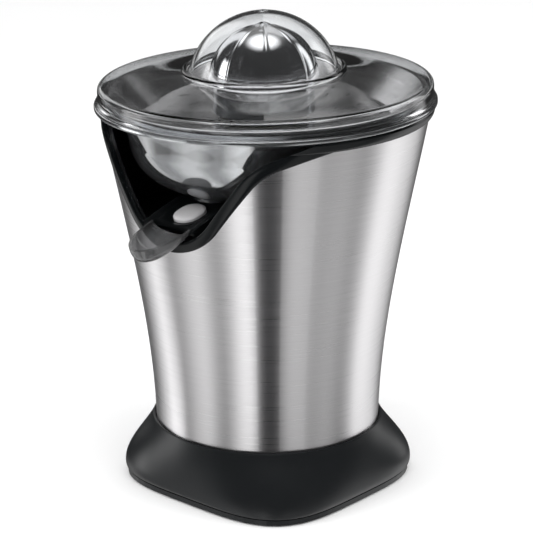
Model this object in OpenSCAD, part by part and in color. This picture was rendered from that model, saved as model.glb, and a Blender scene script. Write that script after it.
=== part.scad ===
// Electric citrus press with a drip-stop spout.
// Millimetres, +Z up. The origin is on the counter, on the axis that the cone turns about.
// The spout points along -Y and the cord inlet is at the back, along +Y.

/* [Overall] */
// Height of the bowl's flange above the counter
flange_z = 236; // [226:1:285]
// Outer radius of the bowl's flange
flange_r = 100; // [98:1:120]

/* [Sleeve] */
// Height at which the steel leaves the base
sleeve_foot_z = 39; // [37:1:42]
// Steel radius where it leaves the base
sleeve_foot_r = 67.5; // [66.5:0.5:82]
// Steel radius carried up to the flange
sleeve_top_r = 97.2; // [96:0.2:106]
// Outward lean of the steel at its foot, rise over run
sleeve_lean_foot = 0.02; // [0:0.01:0.05]
// Outward lean of the steel at its top
sleeve_lean_top = 0.183; // [0.15:0.01:0.22]
// Thickness of the steel
sleeve_wall = 0.8; // [0.5:0.1:1.2]

/* [Notch and trim] */
// How far the notch in the steel drops below the flange
notch_drop = 73; // [70:1:76]
// Radius of the notch's round bottom
notch_r = 42; // [38:1:44]
// Rise of the notch's straight sides, in degrees
notch_side = 53; // [50:1:56]
// Length of those straight sides
notch_side_len = 35; // [32:1:38]
// Radius where the side turns out under the flange
notch_shoulder_r = 40; // [35:1:45]
// Rise of the notch's upper edge, in degrees
notch_top = 25.6; // [23:0.2:28]
// Width of the black trim round the notch
trim_w = 6.2; // [5:0.1:6.5]
// How far the trim stands out from the steel
trim_proud = 1.1; // [0.5:0.1:1.5]
// Depth of the trim's ring under the flange
ring_h = 6.5; // [5:0.5:9]
// How far the ring's edge stands in from the flange's edge
ring_inset = 1.2; // [0.5:0.1:2.5]

/* [Base] */
// Half width of the base across its flat sides
base_half = 74.5; // [73:0.5:90]
// Squareness of the base: 2 is round, more is squarer
base_square = 3.7; // [3:0.1:5]
// Exponent of the flare from the round neck to the square foot
base_flare = 1.3; // [1.1:0.1:1.6]
// Wall of the base
base_wall = 2.5; // [2:0.1:3]
// Thickness of the bottom plate
plate_t = 3; // [2.6:0.1:4]
// Radius of a rubber foot
foot_r = 7; // [5:0.5:9]
// How far the feet stand below the plate
foot_proud = 1; // [0.6:0.1:2]

/* [Bowl] */
// Outer radius of the bowl just under its flange
bowl_r = 84; // [82:0.5:86]
// Depth of the bowl below its flange
bowl_depth = 47; // [44:1:48]
// Radius of the curve between wall and floor
bowl_round = 28; // [24:1:30]
// Wall of the bowl
bowl_wall = 2.2; // [1.8:0.1:2.6]
// Thickness of the flange
flange_t = 2.5; // [2:0.1:3]
// Inner radius of the bowl's centre tube
tube_r = 9.4; // [9.2:0.1:10]

/* [Sieve] */
// Radius of the sieve's floor
sieve_floor_r = 74; // [70:0.5:75]
// Depth of the sieve's floor below the flange
sieve_depth = 10; // [9:0.5:11]
// Thickness of the sieve's sheet
sieve_t = 0.8; // [0.6:0.1:1]
// Radius of the sieve's rim
sieve_rim_r = 94; // [92:0.5:94.5]
// Height of the sieve's rim above the flange
sieve_rim_z = 6; // [5:0.5:7]
// Slots in the inner of the two slot rings
slot_count = 24; // [16:2:30]
// Length of a slot
slot_len = 6; // [4:0.5:8]
// Width of a slot
slot_w = 1.4; // [1:0.1:2]

/* [Cone] */
// Radius of the reaming cone at its foot
cone_r = 31.5; // [31:0.5:33]
// Height of the cone's tip above the flange
cone_tip = 46.5; // [44:0.5:47]
// Height of the cone's foot above the flange
cone_foot = 12; // [11:0.5:12.5]
// Ribs on the cone
rib_count = 8; // [6:1:10]
// How far the cone and the shaft move down to start the motor
press_travel = 2; // [1.5:0.1:2.2]

/* [Lid] */
// Outer radius of the lid's skirt
lid_r = 97.8; // [97.4:0.1:98]
// Height of the lid's top edge above the flange
lid_edge = 12.5; // [11:0.5:13]
// Radius of the clear dome
dome_r = 45; // [44.5:0.1:46]
// Height of the dome's centre above the flange
dome_z = 8; // [7.5:0.1:9]
// Wall of the lid
lid_wall = 2; // [1.6:0.1:2.2]

/* [Spout] */
// Distance of the spout's hinge in front of the axis
hinge_y = 81; // [80:0.5:82]
// Depth of the hinge below the flange
hinge_drop = 59; // [58.5:0.5:59.5]
// Downward slope of the spout, in degrees
spout_slope = 13.5; // [12:0.5:14]
// Width of the nose at its hinge
nose_w = 32; // [29:0.5:32.5]
// Length of the nose in front of its hinge
nose_len = 32; // [28:1:40]
// Radius of the nose's round tip
nose_tip_r = 10.5; // [9:0.5:11]
// Wall of the nose
nose_wall = 1.6; // [1.2:0.1:2]
// Radius of the hinge pins
pin_r = 1.5; // [1.2:0.1:1.8]
// Width of the spout's button
button_w = 17; // [14:0.5:17.5]
// Length of the spout's button
button_l = 20; // [18.5:0.5:21]

/* [Drive] */
// Gear module
gear_m = 1; // [1:0.1:1]
// Teeth on the motor pinion and on the idler's small gear
small_teeth = 15; // [15:1:15]
// Teeth on the idler's large gear and on the output gear
large_teeth = 60; // [56:2:60]
// Face width of a gear
gear_w = 7; // [6:0.5:7.5]
// Radius of the drive shaft
shaft_r = 4; // [3.8:0.1:4.5]
// Radius of the motor's can
motor_r = 29; // [27.5:0.5:30]
// Height of the motor's can
motor_h = 72; // [66:1:72]
// Turns of the return spring
spring_turns = 5; // [4:1:6]
// Wire radius of the return spring
spring_wire_r = 0.6; // [0.5:0.05:0.7]

/* [Fits] */
// Radial clearance of a running fit
run_gap = 0.05; // [0.03:0.01:0.08]
// Gap between pieces that lift off each other
lift_gap = 0.3; // [0.25:0.05:0.4]
// Clearance of a screw in its hole
screw_gap = 0.05; // [0.03:0.01:0.1]

/* [Hidden] */
eps = 0.01;
$fn = 96;

// Sleeve and trim
sleeve_tuck = 4;
sleeve_inside = 3.2;
liner_wall = 2;
steps_up = 24;
ring_top = flange_z - flange_t / 2 - lift_gap;
ring_foot = ring_top - ring_h;
notch_cy = -notch_drop + notch_r;
shoulder_x = notch_r * sin(notch_side) + notch_side_len * cos(notch_side)
    + notch_shoulder_r * sin(notch_side);
shoulder_y = notch_cy - notch_r * cos(notch_side) + notch_side_len * sin(notch_side)
    - notch_shoulder_r * cos(notch_side);

// Deck that closes the dry space, and the tower that carries the shaft
deck_top = flange_z - notch_drop + 5;
deck_t = 3;
deck_foot = deck_top - deck_t;
tower_r = tube_r - 0.8;
tower_top = flange_z - 17;
bush_r = 6.5;
bush_len = 9;
post_ring = 58;
post_r = 4.5;
post_angles = [60, 120, 240, 300];

// Base
plate_z = foot_proud;
plate_top = plate_z + plate_t;
plate_inset = 1.3;
seam = 0.6;
widest_z = 8.8;
lip_in = 1.6;
neck_out = 1.9;
neck_gap = 0.5;
neck_top = sleeve_foot_z + 0.6;
foot_place = 0.62 * base_half;
screw_r = 1.5;
screw_head_r = 3.2;
screw_head_h = 1.6;
skirt_sides = 80;
skirt_rows = 12;
pocket_t = 0.8;
screw_sink = 0.4;
base_screw_len = 18;
vent_count = 12;
vent_ring = 27;
vent_l = 14;
vent_w = 3;
inlet_z = 15;
inlet_r = 5;
inlet_wall = 1.4;
inlet_in = 8;
inlet_out = 2;
inlet_lip_r = inlet_r + 2.2;
inlet_lip_t = 1.8;

// Gear stage, from the motor up
centre_gap = gear_m * (small_teeth + large_teeth) / 2;
tray_t = 2.5;
stage_gap = 1;
cover_foot = deck_foot - 26;
tray_top = cover_foot - 2 * gear_w - 4.5;
tray_foot = tray_top - tray_t;
cover_top = cover_foot + tray_t;
low_gear_z = tray_top + stage_gap + 0.5;
high_gear_z = cover_foot - stage_gap - gear_w;
rotor_top = low_gear_z + gear_w + 0.3;
pillars = [[-37.5, 0], [centre_gap / 2, 40], [centre_gap / 2, -40]];
pillar_r = 4;
lobe_r = 7;
hub_r = 8;
idler_pin_r = 2.5;
backlash = 0.16;
plate_r = 42;
plate_side_r = 34;
tray_screw_len = 14;

// Motor
motor_top = tray_foot;
motor_foot = motor_top - motor_h;
can_wall = 1.5;
cap_t = 4;
rotor_r = 18.5;
rotor_shaft_r = 2.5;
commutator_r = 9;
commutator_l = 8;
commutator_up = 3;
field_up = 14;
field_l = 44;
rotor_up = 16;
rotor_l = 40;
brush = [9, 6, 5];
lug = 8;
lug_x = 15;

// Shaft, return spring and switch
hex_low_top = cover_top + 7;
hex_high_foot = flange_z - sieve_depth - 2;
shaft_foot = high_gear_z + 0.6;
shaft_top = flange_z + 11;
collar_top = deck_foot - 4 - lift_gap;
collar_h = 3;
collar_r = 7;
cup_top = collar_top - collar_h;
cup_t = 2.4;
cup_foot = cup_top - cup_t;
cup_r = 13;
spring_r = 11;
switch_x = -26;
switch_w = 8;
switch_h = 7;
plunger_r = 1.6;
plunger_share = 0.6;
switch_well = 2.5;
hex_gap = 0.09;
press_gap = 0.01;

// Bowl, sieve and cone
bowl_foot = flange_z - bowl_depth;
round_x = bowl_r - 4 - bowl_round;
round_z = bowl_foot + bowl_round;
tube_top = flange_z - sieve_depth - 3.4;
outlet_y = 45;
outlet_r = 12;
outlet_hole_r = 5;
washer_t = 1;
washer_r = 25;
washer_z = flange_z - sieve_depth + 0.3 + press_travel;
core_foot = washer_z + washer_t + 0.2;
core_r = 30;
core_wall = 2.2;
socket_r = 7;
core_rise = 22;
sieve_turn = 2.7;
sieve_hole_r = 7;
slot_ring_r = 46;
slot_ring_step = 14;
slot_lean = 25;
more_slots = 8;
foot_ring_r = 30;
foot_ring_t = 1.8;
foot_ring_h = 1.2;

// Spout, measured from its hinge, along its slope
pin_y = -0.5;
housing_w = nose_w + 6;
housing_l = 42;
housing_up = 1.6;
housing_down = 6;
ear_down = 1.9;
ridge_w = 3;
ridge_h = 1.2;
housing_front = 2;
nose_rise = 1.8;
nose_drop = 5.1;
nose_tip_up = 1;
button_back = 16.3;
button_depth = 3;
button_stroke = 1.5;
button_proud = 0.9;
stem_r = 2;
channel_z = -4.6;
channel_h = 2.4;
channel_w = 10;
channel_l = 37;
ear_front = 2.4;
ear_l = 5;
scoop_r = 8;
nose_hole_r = 3.5;
pin_reach = 1.8;

// Lid
joint_r = 44;
joint_rise = 5.5;
bead_r = 1.8;
lid_round = 3.4;
nub_r = 2.2;

// ------------------------------------------------------------------ shapes

// Outer radius of the steel at a height, a smooth curve from foot to flange
function sleeve_r(z) =
    let (h = flange_z - sleeve_foot_z, s = (z - sleeve_foot_z) / h)
    sleeve_foot_r + sleeve_lean_foot * h * (s - 2 * s * s + s * s * s)
    + (sleeve_top_r - sleeve_foot_r) * (3 * s * s - 2 * s * s * s)
    + sleeve_lean_top * h * (s * s * s - s * s);

// Points up the sleeve at a distance from its outer face
function sleeve_line(z0, z1, off) =
    [for (i = [0:steps_up]) let (z = z0 + (z1 - z0) * i / steps_up) [sleeve_r(z) + off, z]];

function turned(line) = [for (i = [len(line) - 1:-1:0]) line[i]];

// A shell that follows the sleeve between two offsets
module sleeve_shell(z0, z1, off0, off1) {
    rotate_extrude()
        polygon(concat(sleeve_line(z0, z1, off1), turned(sleeve_line(z0, z1, off0))));
}

// Right half of the notch's outline, drawn from the flange down, narrowed by off
function notch_half(off) =
    let (
        low = [for (a = [0:notch_side / 12:notch_side + eps])
            [(notch_r - off) * sin(a), notch_cy - (notch_r - off) * cos(a)]],
        high = [for (i = [0:8]) let (a = notch_side + (notch_top - notch_side) * i / 8)
            [shoulder_x - (notch_shoulder_r + off) * sin(a),
             shoulder_y + (notch_shoulder_r + off) * cos(a)]],
        last = high[8],
        run = (20 - last[1]) / sin(notch_top)
    )
    concat(low, high, [[last[0] + run * cos(notch_top), 20]]);

// The notch as a block that reaches forward from the axis
module notch_block(off) {
    half = notch_half(off);
    left = [for (i = [len(half) - 1:-1:1]) [-half[i][0], half[i][1]]];
    translate([0, 0, flange_z]) rotate([90, 0, 0])
        linear_extrude(height = flange_r + 20) polygon(concat(half, left));
}

// Radius of the rounded square at an angle
function square_r(half, a) =
    half / pow(pow(abs(cos(a)), base_square) + pow(abs(sin(a)), base_square), 1 / base_square);

function square_outline(half, sides) =
    [for (i = [0:sides - 1]) let (a = 360 * i / sides) square_r(half, a) * [cos(a), sin(a)]];

// Share of the way from the neck to the square foot, at a height
function flare(z) = z <= widest_z ? 1
    : pow(sin(90 * (neck_top - z) / (neck_top - widest_z)), base_flare);

// Outer face of the base at an angle and a height
function skirt_r(a, z, inset) =
    let (neck = sleeve_foot_r + neck_out - inset)
    neck + (square_r(base_half - inset, a) - neck) * flare(z);

function skirt_section(a) =
    let (
        lip_h = widest_z - plate_top - seam,
        face = [for (i = [0:skirt_rows])
            let (z = neck_top - 0.4 + (widest_z - neck_top + 0.4) * i / skirt_rows)
            [skirt_r(a, z, 0), z]],
        lip = [for (i = [1:4]) let (t = 18 * i)
            [skirt_r(a, widest_z, 0) - lip_in * (1 - cos(t)), widest_z - lip_h * sin(t) / sin(72)]],
        inner = [for (i = [0:6])
            let (z = plate_top + (neck_top - 9 - plate_top) * i / 6)
            [skirt_r(a, z, base_wall + 1.4), z]],
        seat = sleeve_foot_r + neck_gap,
        ledge = sleeve_foot_z - sleeve_tuck - 0.1
    )
    concat([[skirt_r(a, neck_top, 0.4), neck_top]], face, lip,
        [[lip[3][0] - 1, plate_top + seam], [lip[3][0] - 1.2, plate_top]], inner,
        [[seat - 3, ledge], [seat, ledge], [seat, neck_top]]);

// Polar point
function polar(r, a) = [r * cos(a), r * sin(a)];

// Involute gear outline with one tooth centred on +X
function roll_angle(r, rb) = r <= rb ? 0 : sqrt(r * r / (rb * rb) - 1) * 180 / PI;
function involute(r, rb) = let (t = roll_angle(r, rb)) t - atan(t * PI / 180);
function gear_outline(teeth) =
    let (
        rp = gear_m * teeth / 2,
        rb = rp * cos(20),
        ra = rp + 0.95 * gear_m,
        rf = rp - 1.2 * gear_m,
        r0 = max(rb, rf),
        radii = [r0, (r0 + rp) / 2, rp, (rp + ra) / 2, ra],
        half = 90 / teeth - backlash / rp * 90 / PI + involute(rp, rb),
        root = half - involute(r0, rb)
    )
    [for (n = [0:teeth - 1]) let (c = 360 * n / teeth)
        each concat(
            [polar(rf, c - root)],
            [for (r = radii) if (r > rf) polar(r, c - half + involute(r, rb))],
            [for (i = [4:-1:0]) if (radii[i] > rf) polar(radii[i], c + half - involute(radii[i], rb))],
            [polar(rf, c + root)])];

module gear(teeth, w) {
    linear_extrude(height = w) polygon(gear_outline(teeth));
}

module tube(h, outer, inner) {
    difference() {
        cylinder(h = h, r = outer);
        translate([0, 0, -1]) cylinder(h = h + 2, r = inner);
    }
}

// A round-ended slot or bar, centred, along X
module stadium(length, width) {
    reach = max(0, (length - width) / 2);
    if (reach > 0) square([2 * reach, width], center = true);
    for (side = reach > 0 ? [-1, 1] : [0]) translate([side * reach, 0]) circle(d = width, $fn = 48);
}

// Places children in the spout's own frame: hinge at the origin, -Y along the slope
module on_spout() {
    translate([0, -hinge_y, flange_z - hinge_drop]) rotate([spout_slope, 0, 0]) children();
}

module plate_outline() {
    circle(r = plate_r);
    translate([centre_gap, 0]) circle(r = plate_side_r);
    for (p = pillars) translate(p) circle(r = lobe_r);
}

// ------------------------------------------------------------------ base

module base_plate() {
    color("#1b1c1e") difference() {
        translate([0, 0, plate_z]) linear_extrude(height = plate_t)
            polygon(square_outline(base_half - plate_inset, skirt_sides));
        for (x = [-1, 1], y = [-1, 1])
            translate([x * foot_place, y * foot_place, plate_z - 1])
                cylinder(h = 1 + plate_t - pocket_t, r = foot_r + run_gap);
        for (a = post_angles) translate([post_ring * cos(a), post_ring * sin(a), 0]) {
            cylinder(h = plate_z + screw_head_h + screw_sink, r = screw_head_r + lift_gap);
            cylinder(h = plate_top + 1, r = screw_r + screw_gap);
        }
        for (i = [0:vent_count - 1]) rotate([0, 0, 360 * i / vent_count]) translate([vent_ring, 0, 0])
            linear_extrude(height = plate_top + 1) stadium(vent_l, vent_w);
    }
}

module rubber_feet() {
    color("#2a2a2a") for (x = [-1, 1], y = [-1, 1])
        translate([x * foot_place, y * foot_place, 0])
            cylinder(h = plate_z + plate_t - pocket_t, r = foot_r);
}

module screw(head_z, length, head_r, head_h) {
    translate([0, 0, head_z]) difference() {
        cylinder(h = head_h, r = head_r);
        translate([0, 0, -0.2]) linear_extrude(height = 0.8) {
            square([3.6, 0.8], center = true);
            square([0.8, 3.6], center = true);
        }
    }
    translate([0, 0, head_z + head_h - eps]) cylinder(h = length, r = screw_r, $fn = 48);
}

module base_screws() {
    color("#8d8f92") for (a = post_angles)
        translate([post_ring * cos(a), post_ring * sin(a), 0])
            screw(plate_z + screw_sink, base_screw_len, screw_head_r, screw_head_h);
}

module base_skirt() {
    rows = len(skirt_section(0));
    points = [for (i = [0:skirt_sides - 1]) let (a = 360 * i / skirt_sides)
        each [for (p = skirt_section(a)) [p[0] * cos(a), p[0] * sin(a), p[1]]]];
    faces = [for (i = [0:skirt_sides - 1], j = [0:rows - 1])
        let (k = (i + 1) % skirt_sides, m = (j + 1) % rows,
             a = i * rows + j, b = k * rows + j, c = k * rows + m, d = i * rows + m)
        each [[a, b, c], [a, c, d]]];
    color("#1d1f20") difference() {
        polyhedron(points = points, faces = faces);
        inlet_place() cylinder(h = 30, r = inlet_r + 0.2, center = true);
    }
}

module inlet_place() {
    translate([0, base_half, inlet_z]) rotate([-90, 0, 0]) children();
}

module cord_inlet() {
    color("#161616") inlet_place() difference() {
        union() {
            translate([0, 0, -inlet_in]) cylinder(h = inlet_in + inlet_out, r = inlet_r);
            translate([0, 0, 0.4]) cylinder(h = inlet_lip_t, r = inlet_lip_r);
        }
        cylinder(h = 30, r = inlet_r - inlet_wall, center = true);
    }
}

// ------------------------------------------------------------------ body

module body_sleeve() {
    color("#c4c3c4") difference() {
        sleeve_shell(sleeve_foot_z - sleeve_tuck, ring_foot, -sleeve_wall, 0);
        notch_block(0);
    }
}

// Section of the ring under the flange: round outside, down to the steel
function ring_section() =
    let (r0 = flange_r - ring_inset, r1 = sleeve_r(ring_foot) + trim_proud * 0.4)
    concat(
        [[sleeve_r(ring_top) - sleeve_inside + 0.2, ring_top], [r0 - 0.8, ring_top]],
        [for (i = [1:8]) let (a = 90 * i / 8)
            [r1 + (r0 - r1) * cos(a), ring_top - 0.8 - (ring_h - 0.8) * sin(a)]],
        [[sleeve_r(ring_foot) - sleeve_inside + 0.2, ring_foot]]);

module body_trim() {
    color("#131415") difference() {
        union() {
            rotate_extrude() polygon(ring_section());
            intersection() {
                sleeve_shell(flange_z - notch_drop - 2, ring_foot + eps,
                    -sleeve_inside + 0.2, trim_proud);
                notch_block(0);
            }
        }
        notch_block(trim_w);
    }
}

module inner_housing() {
    wall_top = ring_top - 0.5;
    color("#0f1011") {
        difference() {
            union() {
                sleeve_shell(deck_foot, wall_top, -sleeve_inside - liner_wall, -sleeve_inside);
                rotate_extrude() polygon([
                    [0, deck_foot], [sleeve_r(deck_foot) - sleeve_inside - 1, deck_foot],
                    [sleeve_r(deck_top) - sleeve_inside - 1, deck_top], [0, deck_top]]);
                translate([0, 0, deck_foot - 4]) cylinder(h = tower_top - deck_foot + 4, r = tower_r);
                for (a = post_angles) translate([post_ring * cos(a), post_ring * sin(a), plate_top])
                    cylinder(h = deck_foot - plate_top + 1, r = post_r);
                for (p = pillars) translate([p[0], p[1], cover_top])
                    cylinder(h = deck_foot - cover_top + 1, r = pillar_r);
            }
            difference() {
                notch_block(trim_w);
                cylinder(h = deck_top, r = flange_r);
            }
            translate([0, 0, deck_foot - 5]) cylinder(h = 90, r = shaft_r + 0.6);
            translate([0, 0, tower_top - bush_len]) cylinder(h = 20, r = bush_r);
            translate([0, 0, deck_foot - 5]) cylinder(h = bush_len + 1, r = bush_r);
            for (a = post_angles) translate([post_ring * cos(a), post_ring * sin(a), plate_top - 1])
                cylinder(h = 20, r = screw_r + screw_gap);
            for (p = pillars) translate([p[0], p[1], cover_top - 1])
                cylinder(h = 18, r = screw_r + screw_gap);
        }
    }
}

module shaft_bushes() {
    color("#b98d4f") {
        translate([0, 0, tower_top - bush_len]) tube(bush_len, bush_r, shaft_r + run_gap);
        translate([0, 0, deck_foot - 4]) tube(bush_len, bush_r, shaft_r + run_gap);
    }
}

// ------------------------------------------------------------------ drive

module motor_can() {
    color("#9a9c9f") difference() {
        translate([0, 0, motor_foot]) cylinder(h = motor_h, r = motor_r);
        translate([0, 0, motor_foot - 1]) cylinder(h = motor_h + 1 - can_wall, r = motor_r - can_wall);
        cylinder(h = motor_top + 1, r = rotor_shaft_r + run_gap);
    }
}

module motor_end_cap() {
    color("#d8d2c0") difference() {
        union() {
            translate([0, 0, motor_foot - cap_t]) cylinder(h = cap_t, r = motor_r);
            for (side = [-1, 1]) translate([side * lug_x, 0, motor_foot + commutator_up / 2])
                cube([lug, lug, commutator_up + 2 * eps], center = true);
        }
        cylinder(h = motor_foot + 1, r = rotor_shaft_r + run_gap);
    }
}

module motor_field() {
    color("#77797c") translate([0, 0, motor_foot + field_up])
        tube(field_l, motor_r - can_wall - 0.1, rotor_r + 1);
}

module carbon_brushes() {
    color("#2b2b2d") for (side = [-1, 1])
        translate([side * (commutator_r + 0.4 + brush[0] / 2), 0, motor_foot + commutator_up + 2.6])
            cube(brush, center = true);
}

module motor_rotor() {
    color("#b0703a") {
        translate([0, 0, motor_foot - cap_t + 1])
            cylinder(h = rotor_top - motor_foot + cap_t - 1, r = rotor_shaft_r);
        translate([0, 0, motor_foot + commutator_up]) cylinder(h = commutator_l, r = commutator_r);
        translate([0, 0, motor_foot + rotor_up]) cylinder(h = rotor_l, r = rotor_r);
    }
}

module motor_pinion() {
    color("#c9a24a") difference() {
        translate([0, 0, low_gear_z]) gear(small_teeth, gear_w);
        translate([0, 0, low_gear_z - 1]) cylinder(h = gear_w + 2, r = rotor_shaft_r + press_gap);
    }
}

module gear_tray() {
    color("#3a3d40") difference() {
        union() {
            translate([0, 0, tray_foot]) linear_extrude(height = tray_t) plate_outline();
            for (p = pillars) translate([p[0], p[1], tray_top - 1])
                cylinder(h = cover_foot - tray_top + 1, r = pillar_r);
        }
        translate([0, 0, tray_foot - 1]) cylinder(h = tray_t + 2, r = 6);
        translate([centre_gap, 0, tray_foot - 1]) cylinder(h = tray_t + 2, r = idler_pin_r);
        for (p = pillars) translate([p[0], p[1], tray_foot - 1])
            cylinder(h = cover_foot - tray_foot + 2, r = screw_r + screw_gap);
    }
}

module gear_cover() {
    color("#45484b") difference() {
        translate([0, 0, cover_foot]) linear_extrude(height = tray_t) plate_outline();
        translate([0, 0, cover_foot - 1]) cylinder(h = tray_t + 2, r = hub_r + run_gap);
        translate([centre_gap, 0, cover_foot - 1]) cylinder(h = tray_t + 2, r = idler_pin_r);
        for (p = pillars) translate([p[0], p[1], cover_foot - 1])
            cylinder(h = tray_t + 2, r = screw_r + screw_gap);
    }
}

module gearbox_screws() {
    color("#8d8f92") for (p = pillars) translate([p[0], p[1], 0])
        screw(tray_foot - 2, cover_top - tray_foot + tray_screw_len, 3, 2);
}

module idler_pin() {
    color("#b8babd") translate([centre_gap, 0, tray_foot])
        cylinder(h = cover_top - tray_foot, r = idler_pin_r);
}

module idler_gear() {
    color("#e6e0cf") difference() {
        union() {
            translate([centre_gap, 0, low_gear_z])
                rotate([0, 0, 180 / large_teeth]) gear(large_teeth, gear_w);
            translate([centre_gap, 0, low_gear_z + gear_w - eps])
                gear(small_teeth, cover_foot - 0.5 - low_gear_z - gear_w);
        }
        translate([centre_gap, 0, low_gear_z - 1])
            cylinder(h = cover_foot - low_gear_z + 2, r = idler_pin_r + run_gap);
    }
}

module output_gear() {
    color("#e6e0cf") difference() {
        union() {
            translate([0, 0, high_gear_z]) gear(large_teeth, gear_w);
            translate([0, 0, high_gear_z]) cylinder(h = cover_top + 0.5 - high_gear_z, r = hub_r);
        }
        translate([0, 0, high_gear_z - 1]) cylinder(h = 20, r = shaft_r + hex_gap, $fn = 6);
    }
}

module drive_shaft() {
    color("#bfc1c4") {
        translate([0, 0, shaft_foot]) cylinder(h = hex_low_top - shaft_foot + 1, r = shaft_r, $fn = 6);
        translate([0, 0, hex_low_top]) cylinder(h = hex_high_foot - hex_low_top, r = shaft_r);
        translate([0, 0, hex_high_foot - 1])
            cylinder(h = shaft_top - hex_high_foot + 1, r = shaft_r, $fn = 6);
        translate([0, 0, collar_top - collar_h]) cylinder(h = collar_h, r = collar_r);
    }
}

module thrust_cup() {
    color("#d9d9d6") difference() {
        union() {
            translate([0, 0, cup_foot]) cylinder(h = cup_t, r = cup_r);
            translate([switch_x - 3, -switch_w / 2, cup_foot]) cube([-switch_x + 3, switch_w, cup_t]);
        }
        translate([0, 0, cup_foot - 1]) cylinder(h = cup_t + 2, r = shaft_r + run_gap);
    }
}

// Return spring: a round wire wound between the gear cover and the thrust cup
module return_spring() {
    sides = 8;
    per_turn = 20;
    rings = spring_turns * per_turn;
    low = cover_top + spring_wire_r;
    high = cup_foot - spring_wire_r;
    points = [for (i = [0:rings], j = [0:sides - 1])
        let (a = 360 * i / per_turn, b = 360 * j / sides,
             r = spring_r + spring_wire_r * cos(b),
             z = low + (high - low) * i / rings + spring_wire_r * sin(b))
        [r * cos(a), r * sin(a), z]];
    walls = [for (i = [0:rings - 1], j = [0:sides - 1])
        let (m = (j + 1) % sides, a = i * sides + j, b = (i + 1) * sides + j,
             c = (i + 1) * sides + m, d = i * sides + m)
        each [[a, c, b], [a, d, c]]];
    start = [for (j = [0:sides - 1]) j];
    end = [for (j = [sides - 1:-1:0]) rings * sides + j];
    color("#a9abae") polyhedron(points = points, faces = concat([turned(start)], walls, [turned(end)]));
}

module micro_switch() {
    color("#1f2a33") difference() {
        translate([switch_x - 7, -switch_w / 2, cover_top]) cube([13, switch_w, switch_h]);
        translate([switch_x, 0, cover_top + switch_well]) cylinder(h = switch_h, r = plunger_r + run_gap);
    }
}

module switch_plunger() {
    low = cover_top + switch_well + 0.1 + press_travel * plunger_share;
    color("#b5462e") translate([switch_x, 0, low]) cylinder(h = cup_foot - 1 - low, r = plunger_r);
}

// ------------------------------------------------------------------ bowl

// Outer radius of the sieve's sloping wall at a height
function sieve_wall_r(z) =
    let (low = flange_z - sieve_depth - sieve_t, high = flange_z + sieve_rim_z - sieve_t)
    sieve_floor_r + (sieve_rim_r - sieve_turn - sieve_floor_r) * (z - low) / (high - low);

function bowl_curve(r, from, to) =
    [for (i = [0:8]) let (a = from + (to - from) * i / 8)
        [round_x + r * cos(a), round_z + r * sin(a)]];

module bowl() {
    flange_foot = flange_z - flange_t / 2;
    flange_top = flange_z + flange_t / 2;
    rim_in = bowl_r - bowl_wall;
    color([0.8, 0.86, 0.9, 0.45]) difference() {
        union() {
            rotate_extrude() polygon(concat(
                [[tube_r, bowl_foot], [round_x, bowl_foot]],
                bowl_curve(bowl_round, -90, 0),
                [[bowl_r, flange_z - 5], [bowl_r + 2.5, flange_foot],
                 [flange_r - 0.8, flange_foot], [flange_r, flange_z - 0.4],
                 [flange_r, flange_z + 0.4], [flange_r - 0.8, flange_top],
                 [sieve_wall_r(flange_top) + lift_gap + 0.1, flange_top], [rim_in, flange_z - 5]],
                turned(bowl_curve(bowl_round - bowl_wall, -90, 0)),
                [[tube_r + bowl_wall, bowl_foot + bowl_wall + 1.5],
                 [tube_r + bowl_wall, tube_top], [tube_r, tube_top]]));
            translate([0, 0, bowl_foot - foot_ring_h])
                tube(foot_ring_h + 0.1, foot_ring_r, foot_ring_r - foot_ring_t);
            translate([0, -outlet_y, bowl_foot - 2.5]) cylinder(h = 3, r = outlet_r);
        }
        translate([0, -outlet_y, bowl_foot - 4]) cylinder(h = 9, r = outlet_hole_r);
    }
}

// ------------------------------------------------------------------ spout

module spout_housing() {
    deep = housing_up + housing_down;
    color("#141516") difference() {
        on_spout() difference() {
            union() {
                translate([-housing_w / 2, housing_front, -ear_down])
                    cube([housing_w, housing_l, housing_up + ear_down]);
                translate([-housing_w / 2, housing_front + 3, -housing_down])
                    cube([housing_w, housing_l - 3, deep]);
                for (side = [-1, 1]) translate([side * (housing_w - ridge_w) / 2 - ridge_w / 2, 0, 0]) {
                    translate([0, housing_front, housing_up - eps]) cube([ridge_w, housing_l, ridge_h]);
                    translate([0, -ear_front, -ear_down])
                        cube([ridge_w, ear_l, housing_up + ear_down + ridge_h]);
                }
            }
            translate([-housing_w, pin_y, 0]) rotate([0, 90, 0])
                cylinder(h = 2 * housing_w, r = pin_r + run_gap);
            translate([0, housing_front - 4, 0]) cylinder(h = deep * 2, r = scoop_r, center = true);
            translate([0, button_back, housing_up - button_depth]) rotate([0, 0, 90])
                linear_extrude(height = button_depth + 1) stadium(button_l + 0.4, button_w + 0.4);
            translate([-channel_w / 2, 0, channel_z]) cube([channel_w, channel_l, channel_h]);
            translate([0, button_back, channel_z])
                cylinder(h = deep, r = stem_r + run_gap);
        }
        translate([0, -outlet_y, bowl_foot - 7]) cylinder(h = 10, r = outlet_hole_r);
        translate([0, 0, bowl_foot - 2.5]) cylinder(h = 20, r = flange_r);
    }
}

module spout_button() {
    color("#a7a7aa") on_spout() {
        translate([0, button_back, housing_up - button_depth + button_stroke + 0.2])
            rotate([0, 0, 90])
                linear_extrude(height = button_depth - button_stroke - 0.2 + button_proud)
                    stadium(button_l, button_w);
        translate([0, button_back, housing_up - button_depth - 1.2])
            cylinder(h = button_stroke + 2, r = stem_r);
    }
}

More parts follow.
